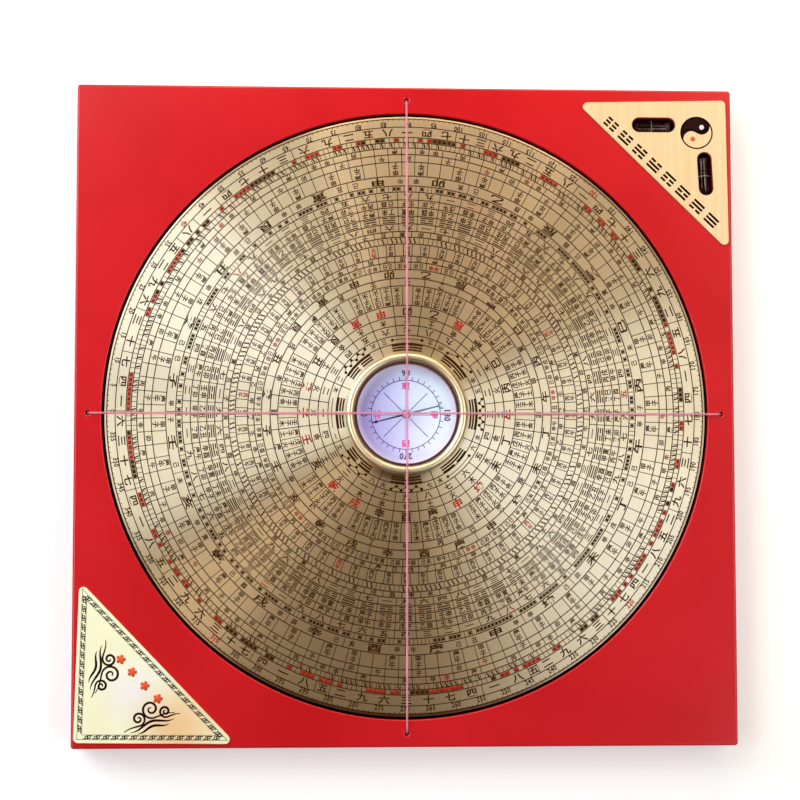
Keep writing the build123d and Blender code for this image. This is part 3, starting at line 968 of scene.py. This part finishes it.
@dataclass
class SightThreads:
    """Two crossed nylon threads, each knotted under the board at both ends."""

    reach: float = 137.15
    knot_z: float = 2.9
    low_z: float = 20.7
    lip_reach: float = 5.4
    radius: float = 0.45
    length: float = 309.0
    high_z: dict[str, float] = field(default_factory=lambda: {"x": 22.95, "y": 23.95})
    high_reach: dict[str, float] = field(default_factory=lambda: {"x": 24.6, "y": 5.0})

    def route(self, name: str) -> Array:
        """The spline's points: up a hole, over its lip, across the dial and down again.

        Args:
            name: "x" or "y", the axis that the thread lies along.

        Returns:
            (N, 3) points in millimetres. The two by each lip stand about six diameters from it.
        """
        top_z, top_reach = self.high_z[name], self.high_reach[name]
        slope = (top_z - self.low_z) / (self.reach - top_reach)
        half = np.array([
            [self.reach, 0, self.knot_z],
            [self.reach, 0, self.low_z - self.lip_reach],
            [self.reach, 0, self.low_z],
            [self.reach - self.lip_reach, 0, self.low_z + self.lip_reach * slope],
            [top_reach + self.lip_reach, 0, top_z - self.lip_reach * slope],
            [top_reach, 0, top_z],
        ])
        whole = np.vstack([half, half[::-1] * [-1, 1, 1]])
        return whole if name == "x" else whole[:, [1, 0, 2]] * [-1, 1, 1]

    def build(self, nylon: bpy.types.Material) -> None:
        """Lays both threads as smooth splines through the board's holes and over the window.

        Args:
            nylon: the threads' finish.
        """
        for name in self.high_z:
            points = self.route(name) * MM
            curve = bpy.data.curves.new(f"thread_cord_{name}", "CURVE")
            curve.dimensions = "3D"
            curve.bevel_depth = self.radius * MM
            curve.bevel_resolution = 4
            curve.use_fill_caps = True
            curve.resolution_u = 16
            spline = curve.splines.new("NURBS")
            spline.points.add(len(points) - 1)
            spline.points.foreach_set("co", np.column_stack([points, np.ones(len(points))]).ravel())
            spline.order_u = 3
            spline.use_endpoint_u = True
            piece = place_piece(curve, "board", nylon)
            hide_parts(f"sight_thread_{name}")
        dress_nodes(nylon, "thread_knots_x", "thread_knots_y")


# The printed dial


STEMS = "甲乙丙丁戊己庚辛壬癸"
BRANCHES = "子丑寅卯辰巳午未申酉戌亥"
COUNTING = "一二三四五六七八九十"
BEARINGS = "子癸丑艮寅甲卯乙辰巽巳丙午丁未坤申庚酉辛戌乾亥壬"
ELEMENTS = "木火土金水"
SIXTY = tuple(STEMS[number % 10] + BRANCHES[number % 12] for number in range(60))


class Lay(Enum):
    """How a word's letters stand in a cell: beside each other, or outwards in a column."""

    BESIDE = "beside"
    COLUMN = "column"


@dataclass(frozen=True)
class Ring:
    """One printed ring of equal cells, counted clockwise from the left.

    Args:
        inner: inner radius.
        outer: outer radius.
        cells: how many cells it is divided in.
        words: what the cells hold, repeated as often as it takes; an empty word leaves a cell bare.
        size: a letter's width and height.
        pitch: the distance from one letter of a word to the next.
        lay: how a word's letters stand.
        shift: how far the first cell's middle stands from the left, in cells.
        red: the cells that are printed red, as numbers within a cycle of 24.
        line: width of the lines between cells; zero for none.
    """

    inner: float
    outer: float
    cells: int
    words: tuple[str, ...] = ()
    size: tuple[float, float] = (2.0, 2.2)
    pitch: float = 2.2
    lay: Lay = Lay.BESIDE
    shift: float = 0.0
    red: tuple[int, ...] = ()
    line: float = 0.32

    @property
    def middle(self) -> float:
        """The radius of the ring's middle."""
        return (self.inner + self.outer) / 2

    def bearings(self) -> Array:
        """The bearing of each cell's middle."""
        return 180 - (np.arange(self.cells) + self.shift) * 360 / self.cells


RINGS = (
    Ring(113.3, 116.2, 120, ("甲", "", "丙", "", "", "庚", "", "辛"), (2.3, 2.1), red=(6, 15)),
    Ring(110.0, 113.3, 120, ("", "子", "", "", "午", "", "卯", ""), (2.4, 2.2), red=(12,)),
    Ring(103.8, 110.0, 120, ("", "甲子", "", "庚午", ""), (2.6, 2.5), 2.8, Lay.COLUMN, shift=-2.0),
    Ring(93.3, 96.8, 64, tuple(COUNTING[:9]), (3.6, 2.4), red=(7, 19)),
    Ring(90.0, 93.3, 64, SIXTY[::3], (2.4, 2.3), 3.0),
    Ring(86.2, 90.0, 64, SIXTY[1::7], (2.5, 2.6), 3.0),
    Ring(79.5, 82.8, 64, tuple("九一七三二八四六"), (4.0, 2.1)),
    Ring(76.9, 79.5, 60, tuple(BRANCHES), (2.4, 1.9), shift=0.7),
    Ring(74.0, 76.9, 240, line=0.24),
    Ring(68.7, 74.0, 120, ("甲子", "", "丙午", ""), (2.0, 2.1), 2.4, Lay.COLUMN, red=(2,)),
    Ring(66.0, 68.7, 60, tuple(STEMS), (2.4, 1.9), shift=0.7),
    Ring(62.8, 66.0, 60, SIXTY[::5], (1.9, 2.0), 2.4, shift=0.7, red=(4, 16)),
    Ring(47.1, 55.7, 72, ("", "甲子金", "丙子水", "戊子火", "庚子土", "壬子木"), (2.5, 2.3), 2.7, Lay.COLUMN),
    Ring(38.4, 42.3, 24, tuple(ELEMENTS), (2.6, 2.9), line=0.0),
    Ring(34.1, 38.4, 24, tuple(COUNTING), (3.2, 2.7), line=0.0),
)


@dataclass
class DialPrint:
    """The printed rings of the brass dial."""

    face_z: float = 20.0
    ring_line: float = 0.42
    heavy_line: float = 0.36
    print_turn: float = -0.4
    red_directions: tuple[int, ...] = (0, 1, 4, 5, 8, 12, 15, 16, 20, 21, 23)
    dot_counts: tuple[int, ...] = (1, 8, 3, 4, 9, 2, 7, 6)
    line_radii: tuple[float, ...] = (
        129.0, 125.4, 120.8, 118.6, 116.2, 113.3, 110.0, 103.8, 99.5, 96.8, 93.3, 90.0, 86.2, 82.8,
        79.5, 76.9, 74.0, 68.7, 66.0, 62.8, 59.0, 55.7, 47.1, 42.3, 38.4, 34.1, 30.6,
    )
    lodge_widths: tuple[int, ...] = (
        12, 9, 16, 5, 6, 18, 10, 24, 7, 11, 9, 16, 18, 9, 18, 12, 15, 11, 17, 2, 10, 31, 3, 14, 7, 17, 18, 16,
    )
    seed: int = 28

    def build(self, case: TypeCase, black: bpy.types.Material, red: bpy.types.Material) -> None:
        """Prints every ring, in pieces by kind of mark.

        Args:
            case: the glyphs.
            black: the dark ink's material.
            red: the red ink's material.
        """
        self.rings = Ink("dial_ring_lines", self.face_z)
        self.cells = Ink("dial_cell_lines", self.face_z)
        self.marks = Ink("dial_marks", self.face_z)
        self.red_marks = Ink("dial_marks_red", self.face_z)
        self.letters = Lettering(case, Ink("dial_letters", self.face_z))
        self.red_letters = Lettering(case, Ink("dial_letters_red", self.face_z))
        for radius in self.line_radii:
            self.rings.circle(radius, self.ring_line)
        self.degree_scale()
        self.lodges()
        self.dotted_rings()
        self.bearing_rings()
        for ring in RINGS:
            self.cell_ring(ring)
        self.line_figures()
        self.number_figures()
        self.spokes()
        self.letters.press()
        self.red_letters.press()
        for ink in (self.rings, self.cells, self.marks, self.letters.ink):
            ink.piece("dial", black)
        for ink in (self.red_marks, self.red_letters.ink):
            ink.piece("dial", red)

    def dividers(self, inner: float, outer: float, bearings: Array, width: float) -> None:
        """Prints straight lines between two radii.

        Args:
            inner: inner radius.
            outer: outer radius.
            bearings: where they stand, before the print's own turn.
            width: their width.
        """
        turned = np.asarray(bearings) + self.print_turn
        self.cells.bars(at_bearing(inner, turned), at_bearing(outer, turned), width)

    def degree_scale(self) -> None:
        """A tick each degree and a number each five, counted clockwise from the left."""
        degrees = np.arange(360)
        length = np.where(degrees % 10 == 0, 1.3, np.where(degrees % 5 == 0, 1.1, 0.75))
        self.cells.bars(at_bearing(129.0 - length, degrees + self.print_turn),
                        at_bearing(np.full(360, 128.9), degrees + self.print_turn), 0.24)
        for degree in range(0, 360, 5):
            letters = self.red_letters if degree % 90 == 40 else self.letters
            letters.row(str(degree), 126.6, 180 - degree + self.print_turn, (1.2, 2.1), 1.4)

    def lodges(self) -> None:
        """The ring of 28 uneven parts, with counting characters about four degrees apart."""
        edges = 180 - np.cumsum((0,) + self.lodge_widths) * 360 / sum(self.lodge_widths)
        self.dividers(120.8, 125.4, edges[:-1], 0.32)
        number = 0
        for start, end in zip(edges[:-1], edges[1:]):
            count = max(1, round((start - end) / 4.2))
            for place in range(count):
                bearing = start + (end - start) * (place + 0.5) / count + self.print_turn
                self.letters.letter(COUNTING[number * 3 % 10], 123.1, bearing, (4.4, 3.3))
                number += 1

    def dotted_rings(self) -> None:
        """Rings of one-degree cells, some with a dot or a block, in groups of up to three."""
        draw = np.random.default_rng(self.seed)
        degrees = np.arange(360) + 0.5 + self.print_turn
        groups = draw.random(360)
        dots = (groups < 0.45) | (np.roll(groups, 1) < 0.25)
        coloured = np.repeat(draw.random(72) < 0.75, 5)
        for inner, outer in ((118.6, 120.8), (116.2, 118.6), (96.8, 99.5)):
            self.dividers(inner, outer, np.arange(360.0), 0.24)
        for ink, chosen in ((self.red_marks, dots & coloured), (self.marks, dots & ~coloured)):
            ink.arcs(118.95, 120.5, degrees[chosen] - 0.4, degrees[chosen] + 0.4)
        blocks = draw.random(360) < 0.55
        self.marks.arcs(97.4, 98.9, degrees[blocks] - 0.34, degrees[blocks] + 0.34)
        small = draw.random(360) < 0.5
        self.marks.bars(at_bearing(116.8, degrees[small]), at_bearing(118.1, degrees[small] + 0.2), 0.6)
        tiny = (np.arange(240) + 0.5) * 1.5 + self.print_turn
        marked = tiny[draw.random(240) < 0.6]
        self.marks.bars(at_bearing(74.7, marked - 0.3), at_bearing(76.2, marked + 0.3), 0.5)

    def blobs(self, ink: Ink, radius: Array | float, bearings: Array, width: float) -> None:
        """Prints round dots of one width."""
        centres = at_bearing(radius, bearings)
        across = np.broadcast_to([width, 0.0], centres.shape)
        ink.stamp(DOT, centres, across, quarter_turn(across))

    def bearing_rings(self) -> None:
        """The rings of the 24 directions, each of fifteen degrees, with the north one at the left."""
        for number, letter in enumerate(BEARINGS):
            bearing = 180 - number * 15 + self.print_turn
            inner_letters = self.red_letters if number in self.red_directions else self.letters
            self.letters.letter(letter, 101.7, bearing - 7.5, (6.0, 3.3))
            for side in (-2.0, 2.0):
                self.letters.letter(SIXTY[number * 5 % 60][side > 0], 101.7, bearing + side, (2.4, 2.3))
            self.letters.letter(letter, 60.9, bearing + 7.5, (4.6, 3.0))
            self.letters.letter(BEARINGS[number - 6], 57.4, bearing, (2.6, 2.5))
            inner_letters.letter(letter, 44.7, bearing, (4.2, 3.7))
        wholes = 180 - np.arange(24) * 15
        self.dividers(99.5, 103.8, wholes, 0.28)
        self.dividers(59.0, 62.8, wholes, 0.3)

    def cell_ring(self, ring: Ring) -> None:
        """Prints one ring's dividers and words."""
        step = 360 / ring.cells
        if ring.line:
            self.dividers(ring.inner, ring.outer, ring.bearings() + step / 2, ring.line)
        for number, bearing in enumerate(ring.bearings()):
            word = ring.words[number % len(ring.words)] if ring.words else ""
            letters = self.red_letters if number % 24 in ring.red else self.letters
            setter = letters.row if ring.lay is Lay.BESIDE else letters.column
            setter(word, ring.middle, bearing + self.print_turn, ring.size, ring.pitch)

    def line_figures(self) -> None:
        """Figures of whole and broken lines: 64 small and eight large ones, with three lines each.

        Line j of a figure is whole where bit j of its value is set. A broken line is two arcs,
        each ending a gap short of the middle. The eight stand in their traditional order, from
        all lines broken at the left to all whole at the right.
        """
        self.figures(np.arange(64) * 37 % 64, 3, 83.55, 0.98, 0.5, 1.9, 0.3, 2)
        self.dividers(82.8, 86.2, 180 - (np.arange(64) + 0.5) * 360 / 64, 0.28)
        self.figures(np.array([0, 4, 5, 6, 7, 3, 2, 1]), 3, 27.75, 1.14, 0.76, 13.0, 1.5, 10)

    def figures(self, values: Array, lines: int, first: float, pitch: float, width: float,
                reach: float, gap: float, steps: int) -> None:
        """Prints one ring of line figures.

        Args:
            values: each figure's number, clockwise from the left.
            lines: lines in each.
            first: radius of the innermost line.
            pitch: distance between lines.
            width: a line's width.
            reach: bearing from a figure's middle to a line's end.
            gap: bearing from its middle to a broken line's near ends.
            steps: flats in each arc.
        """
        figure, line = np.meshgrid(np.arange(len(values)), np.arange(lines), indexing="ij")
        middle = 180 - figure * 360 / len(values) + self.print_turn
        radius = first + line * pitch
        whole = (values[figure] >> line) & 1 == 1
        for side in (-1, 1):
            near, far = middle + side * np.where(whole, 0, gap), middle + side * reach
            low, high = np.minimum(near, far), np.maximum(near, far)
            self.marks.arcs(radius - width / 2, radius + width / 2, low, high, steps)

    def number_figures(self) -> None:
        """Eight traditional numbers as dots on a line, zigzag from four on, with two small letters between them."""
        for number in range(8):
            bearing = 180 - number * 45 + self.print_turn
            dots = self.dot_counts[number]
            places = bearing + (np.linspace(-11.5, 11.5, dots) if dots > 1 else np.zeros(1))
            radii = 32.5 + (0.75 if dots > 3 else 0.0) * (-1.0) ** np.arange(dots)
            self.blobs(self.marks, radii, places, 1.35)
            if dots > 3:
                chain = at_bearing(radii, places)
                self.marks.bars(chain[:-1], chain[1:], 0.3)
            else:
                self.marks.arcs(32.35, 32.65, bearing - 11.5, bearing + 11.5, 8)
            self.letters.letter(COUNTING[number], 32.4, bearing + 18.0, (2.2, 2.2))
            self.letters.letter(ELEMENTS[number % 5], 32.4, bearing - 18.0, (2.2, 2.2))

    def spokes(self) -> None:
        """The lines each fifteen degrees through the inner rings, and each 45 by the window."""
        halves = 180 - (np.arange(24) + 0.5) * 15
        self.dividers(34.1, 59.0, halves, self.heavy_line)
        eighths = 180 - (np.arange(8) + 0.5) * 45
        self.dividers(26.4, 34.1, eighths, self.heavy_line)


# The capsule


@dataclass
class CardPrint:
    """The print of the card under the needle: a degree circle, a cross and the four directions."""

    face_z: float = 11.7
    circle_radius: float = 15.1
    tick: float = 1.4
    number_radius: float = 18.2
    letter_radius: float = 12.5
    cross_inner: float = 2.8
    cross_outer: float = 11.2
    diagonal_outer: float = 13.4
    cross_gap: float = 0.5

    def build(self, case: TypeCase, violet: bpy.types.Material, magenta: bpy.types.Material) -> None:
        """Prints the card.

        Args:
            case: the glyphs.
            violet: the scale's ink.
            magenta: the ink of the cross and the directions.
        """
        scale = Lettering(case, Ink("card_scale", self.face_z))
        cross = Lettering(case, Ink("card_cross", self.face_z))
        scale.ink.circle(self.circle_radius, 0.34, flats=96)
        bearings = np.arange(0, 360, 10.0)
        scale.ink.bars(at_bearing(self.circle_radius, bearings), at_bearing(self.circle_radius + self.tick, bearings), 0.32)
        diagonals = np.arange(45, 360, 90.0)
        scale.ink.bars(at_bearing(self.cross_inner, diagonals), at_bearing(self.diagonal_outer, diagonals), 0.3)
        for quarter, (degree, letter) in enumerate(zip(("0", "90", "180", "270"), "北東南西")):
            bearing = 180 - quarter * 90
            outward = at_bearing(1.0, bearing)
            aside = quarter_turn(outward) * self.cross_gap / 2
            for side in (-1, 1):
                cross.ink.bars(outward * self.cross_inner + side * aside, outward * self.cross_outer + side * aside, 0.2)
            scale.row(degree, self.number_radius, bearing, (1.6, 2.6), 1.9, Reading.OUTWARD)
            cross.letter(letter, self.letter_radius, bearing, (3.5, 2.9), Reading.OUTWARD)
        scale.press()
        cross.press()
        scale.ink.piece("dial", violet)
        cross.ink.piece("dial", magenta)


# Corner plates


@dataclass
class LevelPlatePrint:
    """The sign and the row of line figures on the plate with the spirit levels."""

    face_z: float = 20.8
    sign_middle: tuple[float, float] = (127.6, 123.9)
    sign_radius: float = 7.2
    sign_turn: float = -38.0
    sign_rim: float = 0.62
    light_dot: tuple[float, float] = (2.3, 2.4)
    red_dot: tuple[float, float] = (-1.7, -2.7)
    dot_width: float = 2.1
    row_start: tuple[float, float] = (89.9, 127.4)
    row_end: tuple[float, float] = (133.7, 85.2)
    figure_width: float = 5.0
    figure_pitch: float = 1.65
    figure_line: float = 1.0
    figure_gap: float = 2.0

    def build(self, black: bpy.types.Material, red: bpy.types.Material, pale: bpy.types.Material) -> None:
        """Prints the plate.

        Args:
            black: the dark ink.
            red: the red ink.
            pale: the ink of the light dot.
        """
        sign = Ink("level_plate_print", self.face_z)
        sign.circle(self.sign_radius - self.sign_rim / 2, self.sign_rim, self.sign_middle, 96)
        self.half_sign(sign)
        self.figure_row(sign)
        sign.piece("board", black)
        for name, shift, material in (("level_sign_pale", self.light_dot, pale), ("level_sign_red", self.red_dot, red)):
            dot = Ink(name, self.face_z, INK_THICKNESS * 2)
            dot.stamp(fan(at_bearing(0.5, np.arange(0, 360, 15.0))), np.add(self.sign_middle, shift),
                      np.array([self.dot_width, 0.0]), np.array([0.0, self.dot_width]))
            dot.piece("board", material)

    def half_sign(self, ink: Ink) -> None:
        """The dark half: at each height y from -1 to 1 it spans from the circle's left side to the wave.

        The left side is -sqrt(1 - y * y). The wave is two half circles of half the radius:
        sqrt(1/4 - (|y| - 1/2)^2), to the right where y is above zero and to the left below.
        """
        heights = np.cos(np.linspace(np.pi, 0, 65))
        left = -np.sqrt(np.clip(1 - heights ** 2, 0, 1))
        wave = np.sign(heights) * np.sqrt(np.clip(0.25 - (np.abs(heights) - 0.5) ** 2, 0, 1))
        shape = strip(np.column_stack([left, heights]), np.column_stack([wave, heights]))
        across = at_bearing(self.sign_radius, self.sign_turn)
        ink.stamp(shape, np.array(self.sign_middle), across, quarter_turn(across))

    def figure_row(self, ink: Ink) -> None:
        """Eight figures of three whole or broken lines, along the plate's long side."""
        start, end = np.array(self.row_start), np.array(self.row_end)
        along = (end - start) / np.linalg.norm(end - start)
        upward = quarter_turn(along)
        for number in range(8):
            middle = start + (end - start) * number / 7
            for line in range(3):
                base = middle + upward * (line - 1) * self.figure_pitch
                whole = number >> line & 1
                for side in (-1, 1):
                    near = base + along * side * (0.0 if whole else self.figure_gap / 2)
                    ink.bars(near, base + along * side * self.figure_width / 2, self.figure_line)


@dataclass
class EmblemPlatePrint:
    """The meander border, cloud scrolls and small blossoms on the other corner plate."""

    face_z: float = 20.8
    corner: tuple[float, float] = (-141.8, -140.3)
    leg: tuple[float, float] = (69.0, 68.8)
    lean: tuple[float, float] = (-0.65, 1.6)
    rail_inset: float = 1.55
    border_width: float = 2.0
    rail: float = 0.2
    hook: float = 0.42
    pitch: float = 3.85
    cloud_places: tuple[tuple[float, float, float, float], ...] = (
        (-128.6, -109.5, -104.0, 1.15),
        (-109.5, -129.4, 18.0, 1.15),
    )
    blossom_places: tuple[tuple[float, float], ...] = (
        (-121.9, -105.1), (-117.1, -110.5), (-111.7, -116.3), (-106.1, -121.8),
    )
    blossom_width: float = 4.2

    def build(self, dark: bpy.types.Material, green: bpy.types.Material, red: bpy.types.Material) -> None:
        """Prints the plate.

        Args:
            dark: the ink of the clouds.
            green: the ink of the border.
            red: the ink of the blossoms.
        """
        border = Ink("emblem_border", self.face_z)
        fret = Ink("emblem_fret", self.face_z)
        clouds = Ink("emblem_clouds", self.face_z)
        blossoms = Ink("emblem_blossoms", self.face_z)
        corners = self.inset(self.rail_inset)
        inner = self.inset(self.rail_inset + self.border_width)
        for number in range(3):
            self.border_side(border, fret, corners[number], corners[number - 2])
            border.bars(inner[number], inner[number - 2], self.rail)
        for place in self.cloud_places:
            self.cloud(clouds, *place)
        self.blossom_row(blossoms)
        border.piece("board", green)
        fret.piece("board", dark)
        clouds.piece("board", dark)
        blossoms.piece("board", red)

    def inset(self, margin: float) -> Array:
        """The plate's three corners moved in, so that every side lies a margin inside it.

        Args:
            margin: the distance.

        Returns:
            (3, 2) points, counter-clockwise. Each is where two moved sides meet.
        """
        corner = np.array(self.corner)
        first = corner + at_bearing(self.leg[0], self.lean[0])
        second = corner + at_bearing(self.leg[1], 90 - self.lean[1])
        points = np.array([corner, first, second])
        runs = np.roll(points, -1, axis=0) - points
        runs /= np.linalg.norm(runs, axis=1, keepdims=True)
        inside = quarter_turn(runs)
        before = np.roll(inside, 1, axis=0)
        spread = 1 + np.sum(inside * before, axis=1, keepdims=True)
        return points + (inside + before) * margin / spread

    def border_side(self, border: Ink, fret: Ink, start: Array, end: Array) -> None:
        """One side of the border: a rail, and hooks that turn in on themselves from each edge.

        Args:
            border: the ink of the rails and every first hook.
            fret: the ink of every second hook.
            start: where the outer rail starts.
            end: where it ends.
        """
        run = end - start
        length = np.linalg.norm(run)
        along = run / length
        inside = quarter_turn(along)
        border.bars(start, end, self.rail)
        room = length - 2.6 * self.border_width
        count = int(room / self.pitch)
        pitch = room / count
        hook = np.array([[0.04, 0.2], [0.52, 0.2], [0.52, 0.72], [0.24, 0.72], [0.24, 0.46]])
        places = 1.3 * self.border_width + np.arange(count) * pitch
        for ink, shape in ((border, hook), (fret, [1.0, 1.0] - hook)):
            plan = shape * [pitch, self.border_width]
            points = (start + (places[:, None, None] + plan[None, :, :1]) * along + plan[None, :, 1:] * inside)
            ink.bars(points[:, :-1], points[:, 1:], self.hook)

    def cloud(self, ink: Ink, x: float, y: float, turn: float, scale: float) -> None:
        """One cloud: three spirals, each with a tail, over two long wisps.

        A spiral's radius grows evenly from a tenth to the whole as it turns. Its tail leaves
        straight on and bends back by a share of the square of the way.

        Args:
            ink: where it is printed.
            x: the middle's place.
            y: the middle's place.
            turn: the bearing of the cloud's long axis.
            scale: its size against the drawn one, which is about 18 mm long.
        """
        curls = ((-4.2, 0.6, 2.6, -1, 6.5), (1.2, 2.6, 3.4, 1, 8.0), (6.0, 0.2, 2.2, 1, 5.0))
        for left, up, radius, hand, tail in curls:
            sweep = np.linspace(0, 1, 40)
            turns = hand * sweep * 2 * np.pi * 1.6 - np.pi / 2 - hand * 2 * np.pi * 1.6
            spiral = np.column_stack([np.cos(turns), np.sin(turns)]) * (0.1 + 0.9 * sweep[:, None]) * radius
            way = np.linspace(0, 1, 14)[1:]
            leave = spiral[-1] + np.column_stack([way * tail * hand, 0.22 * tail * way ** 2 - 0.3 * tail * way ** 3])
            path = np.vstack([spiral, leave]) + [left, up]
            width = 0.14 + 0.30 * np.sin(np.linspace(0.15, np.pi, len(path)))
            self.draw(ink, path, width, x, y, turn, scale)
        for drop, reach, lift in ((-2.6, 8.5, 0.9), (-4.1, 6.0, 0.6)):
            way = np.linspace(-1, 1, 25)
            path = np.column_stack([way * reach, drop + lift * np.cos(way * np.pi * 1.2)])
            width = 0.07 + 0.40 * (1 - way ** 2)
            self.draw(ink, path, width, x, y, turn, scale)

    def draw(self, ink: Ink, path: Array, width: Array, x: float, y: float, turn: float, scale: float) -> None:
        """Prints a line of the cloud, turned, scaled and moved to its place."""
        across = at_bearing(scale, turn)
        placed = path[:, :1] * across + path[:, 1:] * quarter_turn(across) + [x, y]
        ink.line(placed, width * scale)

    def blossom_row(self, ink: Ink) -> None:
        """Small five-petalled blossoms: the radius is 0.28 plus 0.22 times the root of |cos(2.5 turns)|."""
        bearings = np.arange(0, 360, 6.0)
        radius = 0.28 + 0.22 * np.sqrt(np.abs(np.cos(np.radians(bearings * 2.5))))
        centres = np.array(self.blossom_places)
        across = np.broadcast_to([self.blossom_width, 0.0], centres.shape)
        ink.stamp(fan(at_bearing(radius, bearings)), centres, across, quarter_turn(across))


@dataclass
class LevelMarks:
    """The line round the middle of each spirit level."""

    axis_z: float = 14.65
    radius: float = 3.0
    half_width: float = 0.14
    thickness: float = 0.04
    headings: dict[str, float] = field(default_factory=lambda: {"x": 0.0, "y": 93.0})

    def build(self, paint: bpy.types.Material) -> None:
        """Puts one painted band round each vial, at its middle.

        A band is four corners, inner and outer at each edge, carried round the vial's axis.
        """
        for name, heading in self.headings.items():
            low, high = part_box(f"level_vial_{name}")
            middle = (np.array(low) + np.array(high)) / 2 / MM
            axis = np.append(at_bearing(1.0, heading), 0.0)
            aside = np.append(quarter_turn(axis[:2]), 0.0)
            round_ = np.radians(np.arange(0, 360, 7.5))[:, None, None]
            reach = self.radius + np.array([0.0, self.thickness, self.thickness, 0.0])[None, :, None]
            along = np.array([-1, -1, 1, 1])[None, :, None] * self.half_width
            points = middle + axis * along + reach * (np.cos(round_) * aside + np.sin(round_) * [0, 0, 1])
            stations = len(points)
            here, corner = np.arange(stations)[:, None], np.arange(4)[None]
            there, turned = (here + 1) % stations, (corner + 1) % 4
            a, b, c, d = here * 4 + corner, here * 4 + turned, there * 4 + turned, there * 4 + corner
            faces = np.concatenate([np.stack([a, b, c], -1).reshape(-1, 3), np.stack([a, c, d], -1).reshape(-1, 3)])
            mesh = triangle_mesh(f"level_mark_{name}", points.reshape(-1, 3), faces)
            place_piece(mesh, "board", paint)


# The whole compass


@dataclass
class Compass:
    """Every finish and every added piece."""

    studio: Studio = field(default_factory=Studio)
    threads: SightThreads = field(default_factory=SightThreads)
    dial: DialPrint = field(default_factory=DialPrint)
    card: CardPrint = field(default_factory=CardPrint)
    level_plate: LevelPlatePrint = field(default_factory=LevelPlatePrint)
    emblem_plate: EmblemPlatePrint = field(default_factory=EmblemPlatePrint)
    level_marks: LevelMarks = field(default_factory=LevelMarks)

    def finishes(self) -> None:
        """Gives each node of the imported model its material."""
        dress_nodes(RedLacquer().material(), "base_board")
        dress_nodes(SpunBrass().material(), "dial_plate")
        dress_nodes(BrushedGold().material(), "level_plate")
        dress_nodes(PolishedGold().material(), "emblem_plate")
        dress_nodes(TurnedBrass().material(), "bezel_ring", "capsule_cup", "capsule_nut")
        dress_nodes(NeedleSteel().material(), "needle_blade")
        dress_nodes(PearlCard().material(), "compass_card")
        solids = {
            "dial_disc": MottledSolid("moulded black phenolic", "141110", 0.35, other="1E1A18", grain=1.2, bump=0.004),
            "dial_felt": MottledSolid("pressed wool felt", "5A5248", 0.95, other="6E6558", grain=0.4, bump=0.12),
            "glass_seal": MottledSolid("moulded rubber", "3A1210", 0.7, other="441816", grain=0.8, bump=0.004),
            "pivot_pin": MottledSolid("hardened steel", "9A9CA0", 0.25, 1.0, other="A8AAAE", grain=1.0),
            "needle_cap": MottledSolid("rose-anodised aluminium", "E08CA0", 0.35, 0.6, other="E898AC", grain=1.0),
            "needle_jewel": MottledSolid("synthetic ruby", "A01030", 0.1, other="B01838", grain=0.6),
        }
        for name, finish in solids.items():
            dress_nodes(finish.material(), name)
        dress_nodes(ClearGlass("float glass", "F4F2FF", ior=1.45).material(), "capsule_glass")
        dress_nodes(ClearGlass("borosilicate glass", "F0F4F2", ior=1.47).material(), "level_vial_x", "level_vial_y")
        # painted shade: the spirit's dark tint stands in for the shade of the pockets that the vials lie in
        dress_nodes(ClearGlass("spirit darkened as painted shade", "5A504C", ior=1.36).material(), "vial_fluid_x", "vial_fluid_y")
        stopper = MottledSolid("moulded rubber stopper", "2A1214", 0.6, other="341A1C", grain=0.6)
        dress_nodes(stopper.material(), "vial_plug_x", "vial_plug_y")

    def prints(self) -> None:
        """Adds everything that is printed."""
        case = TypeCase()
        black = PrintInk().material()
        red = PrintInk("screen-printed red ink", "A01A10", thin="B22A1C").material()
        self.dial.build(case, black, red)
        violet = PrintInk("offset-printed violet ink", "522A66", thin="643A78").material()
        magenta = PrintInk("offset-printed magenta ink", "D02078", thin="DC3C8C").material()
        self.card.build(case, violet, magenta)
        maroon = PrintInk("screen-printed maroon-black ink", "200A0A", thin="2C120E").material()
        orange = PrintInk("screen-printed vermilion ink", "E4502C", thin="EC6840").material()
        pale = PrintInk("screen-printed cream ink", "FFF0DC", thin="FFF6E8").material()
        green = PrintInk("screen-printed green-black ink", "2C3424", thin="3E4630").material()
        self.level_plate.build(maroon, orange, pale)
        self.emblem_plate.build(maroon, green, orange)
        self.level_marks.build(PrintInk("fired grey enamel", "8C8884", thin="9A9692").material())

    def build(self) -> None:
        """Makes the camera and the threads first, then the rest."""
        self.studio.camera()
        nylon = MottledSolid("drawn pink nylon", "FFB0CC", 0.3, ior=1.4, other="FFC0D6", grain=0.7, transmission=0.65)
        self.threads.build(nylon.material())
        self.studio.surroundings()
        self.finishes()
        self.prints()


def main() -> None:
    """Dresses the compass."""
    logging.basicConfig(level=logging.INFO, format="%(name)s: %(message)s")
    Compass().build()


if __name__ == "__main__":
    main()
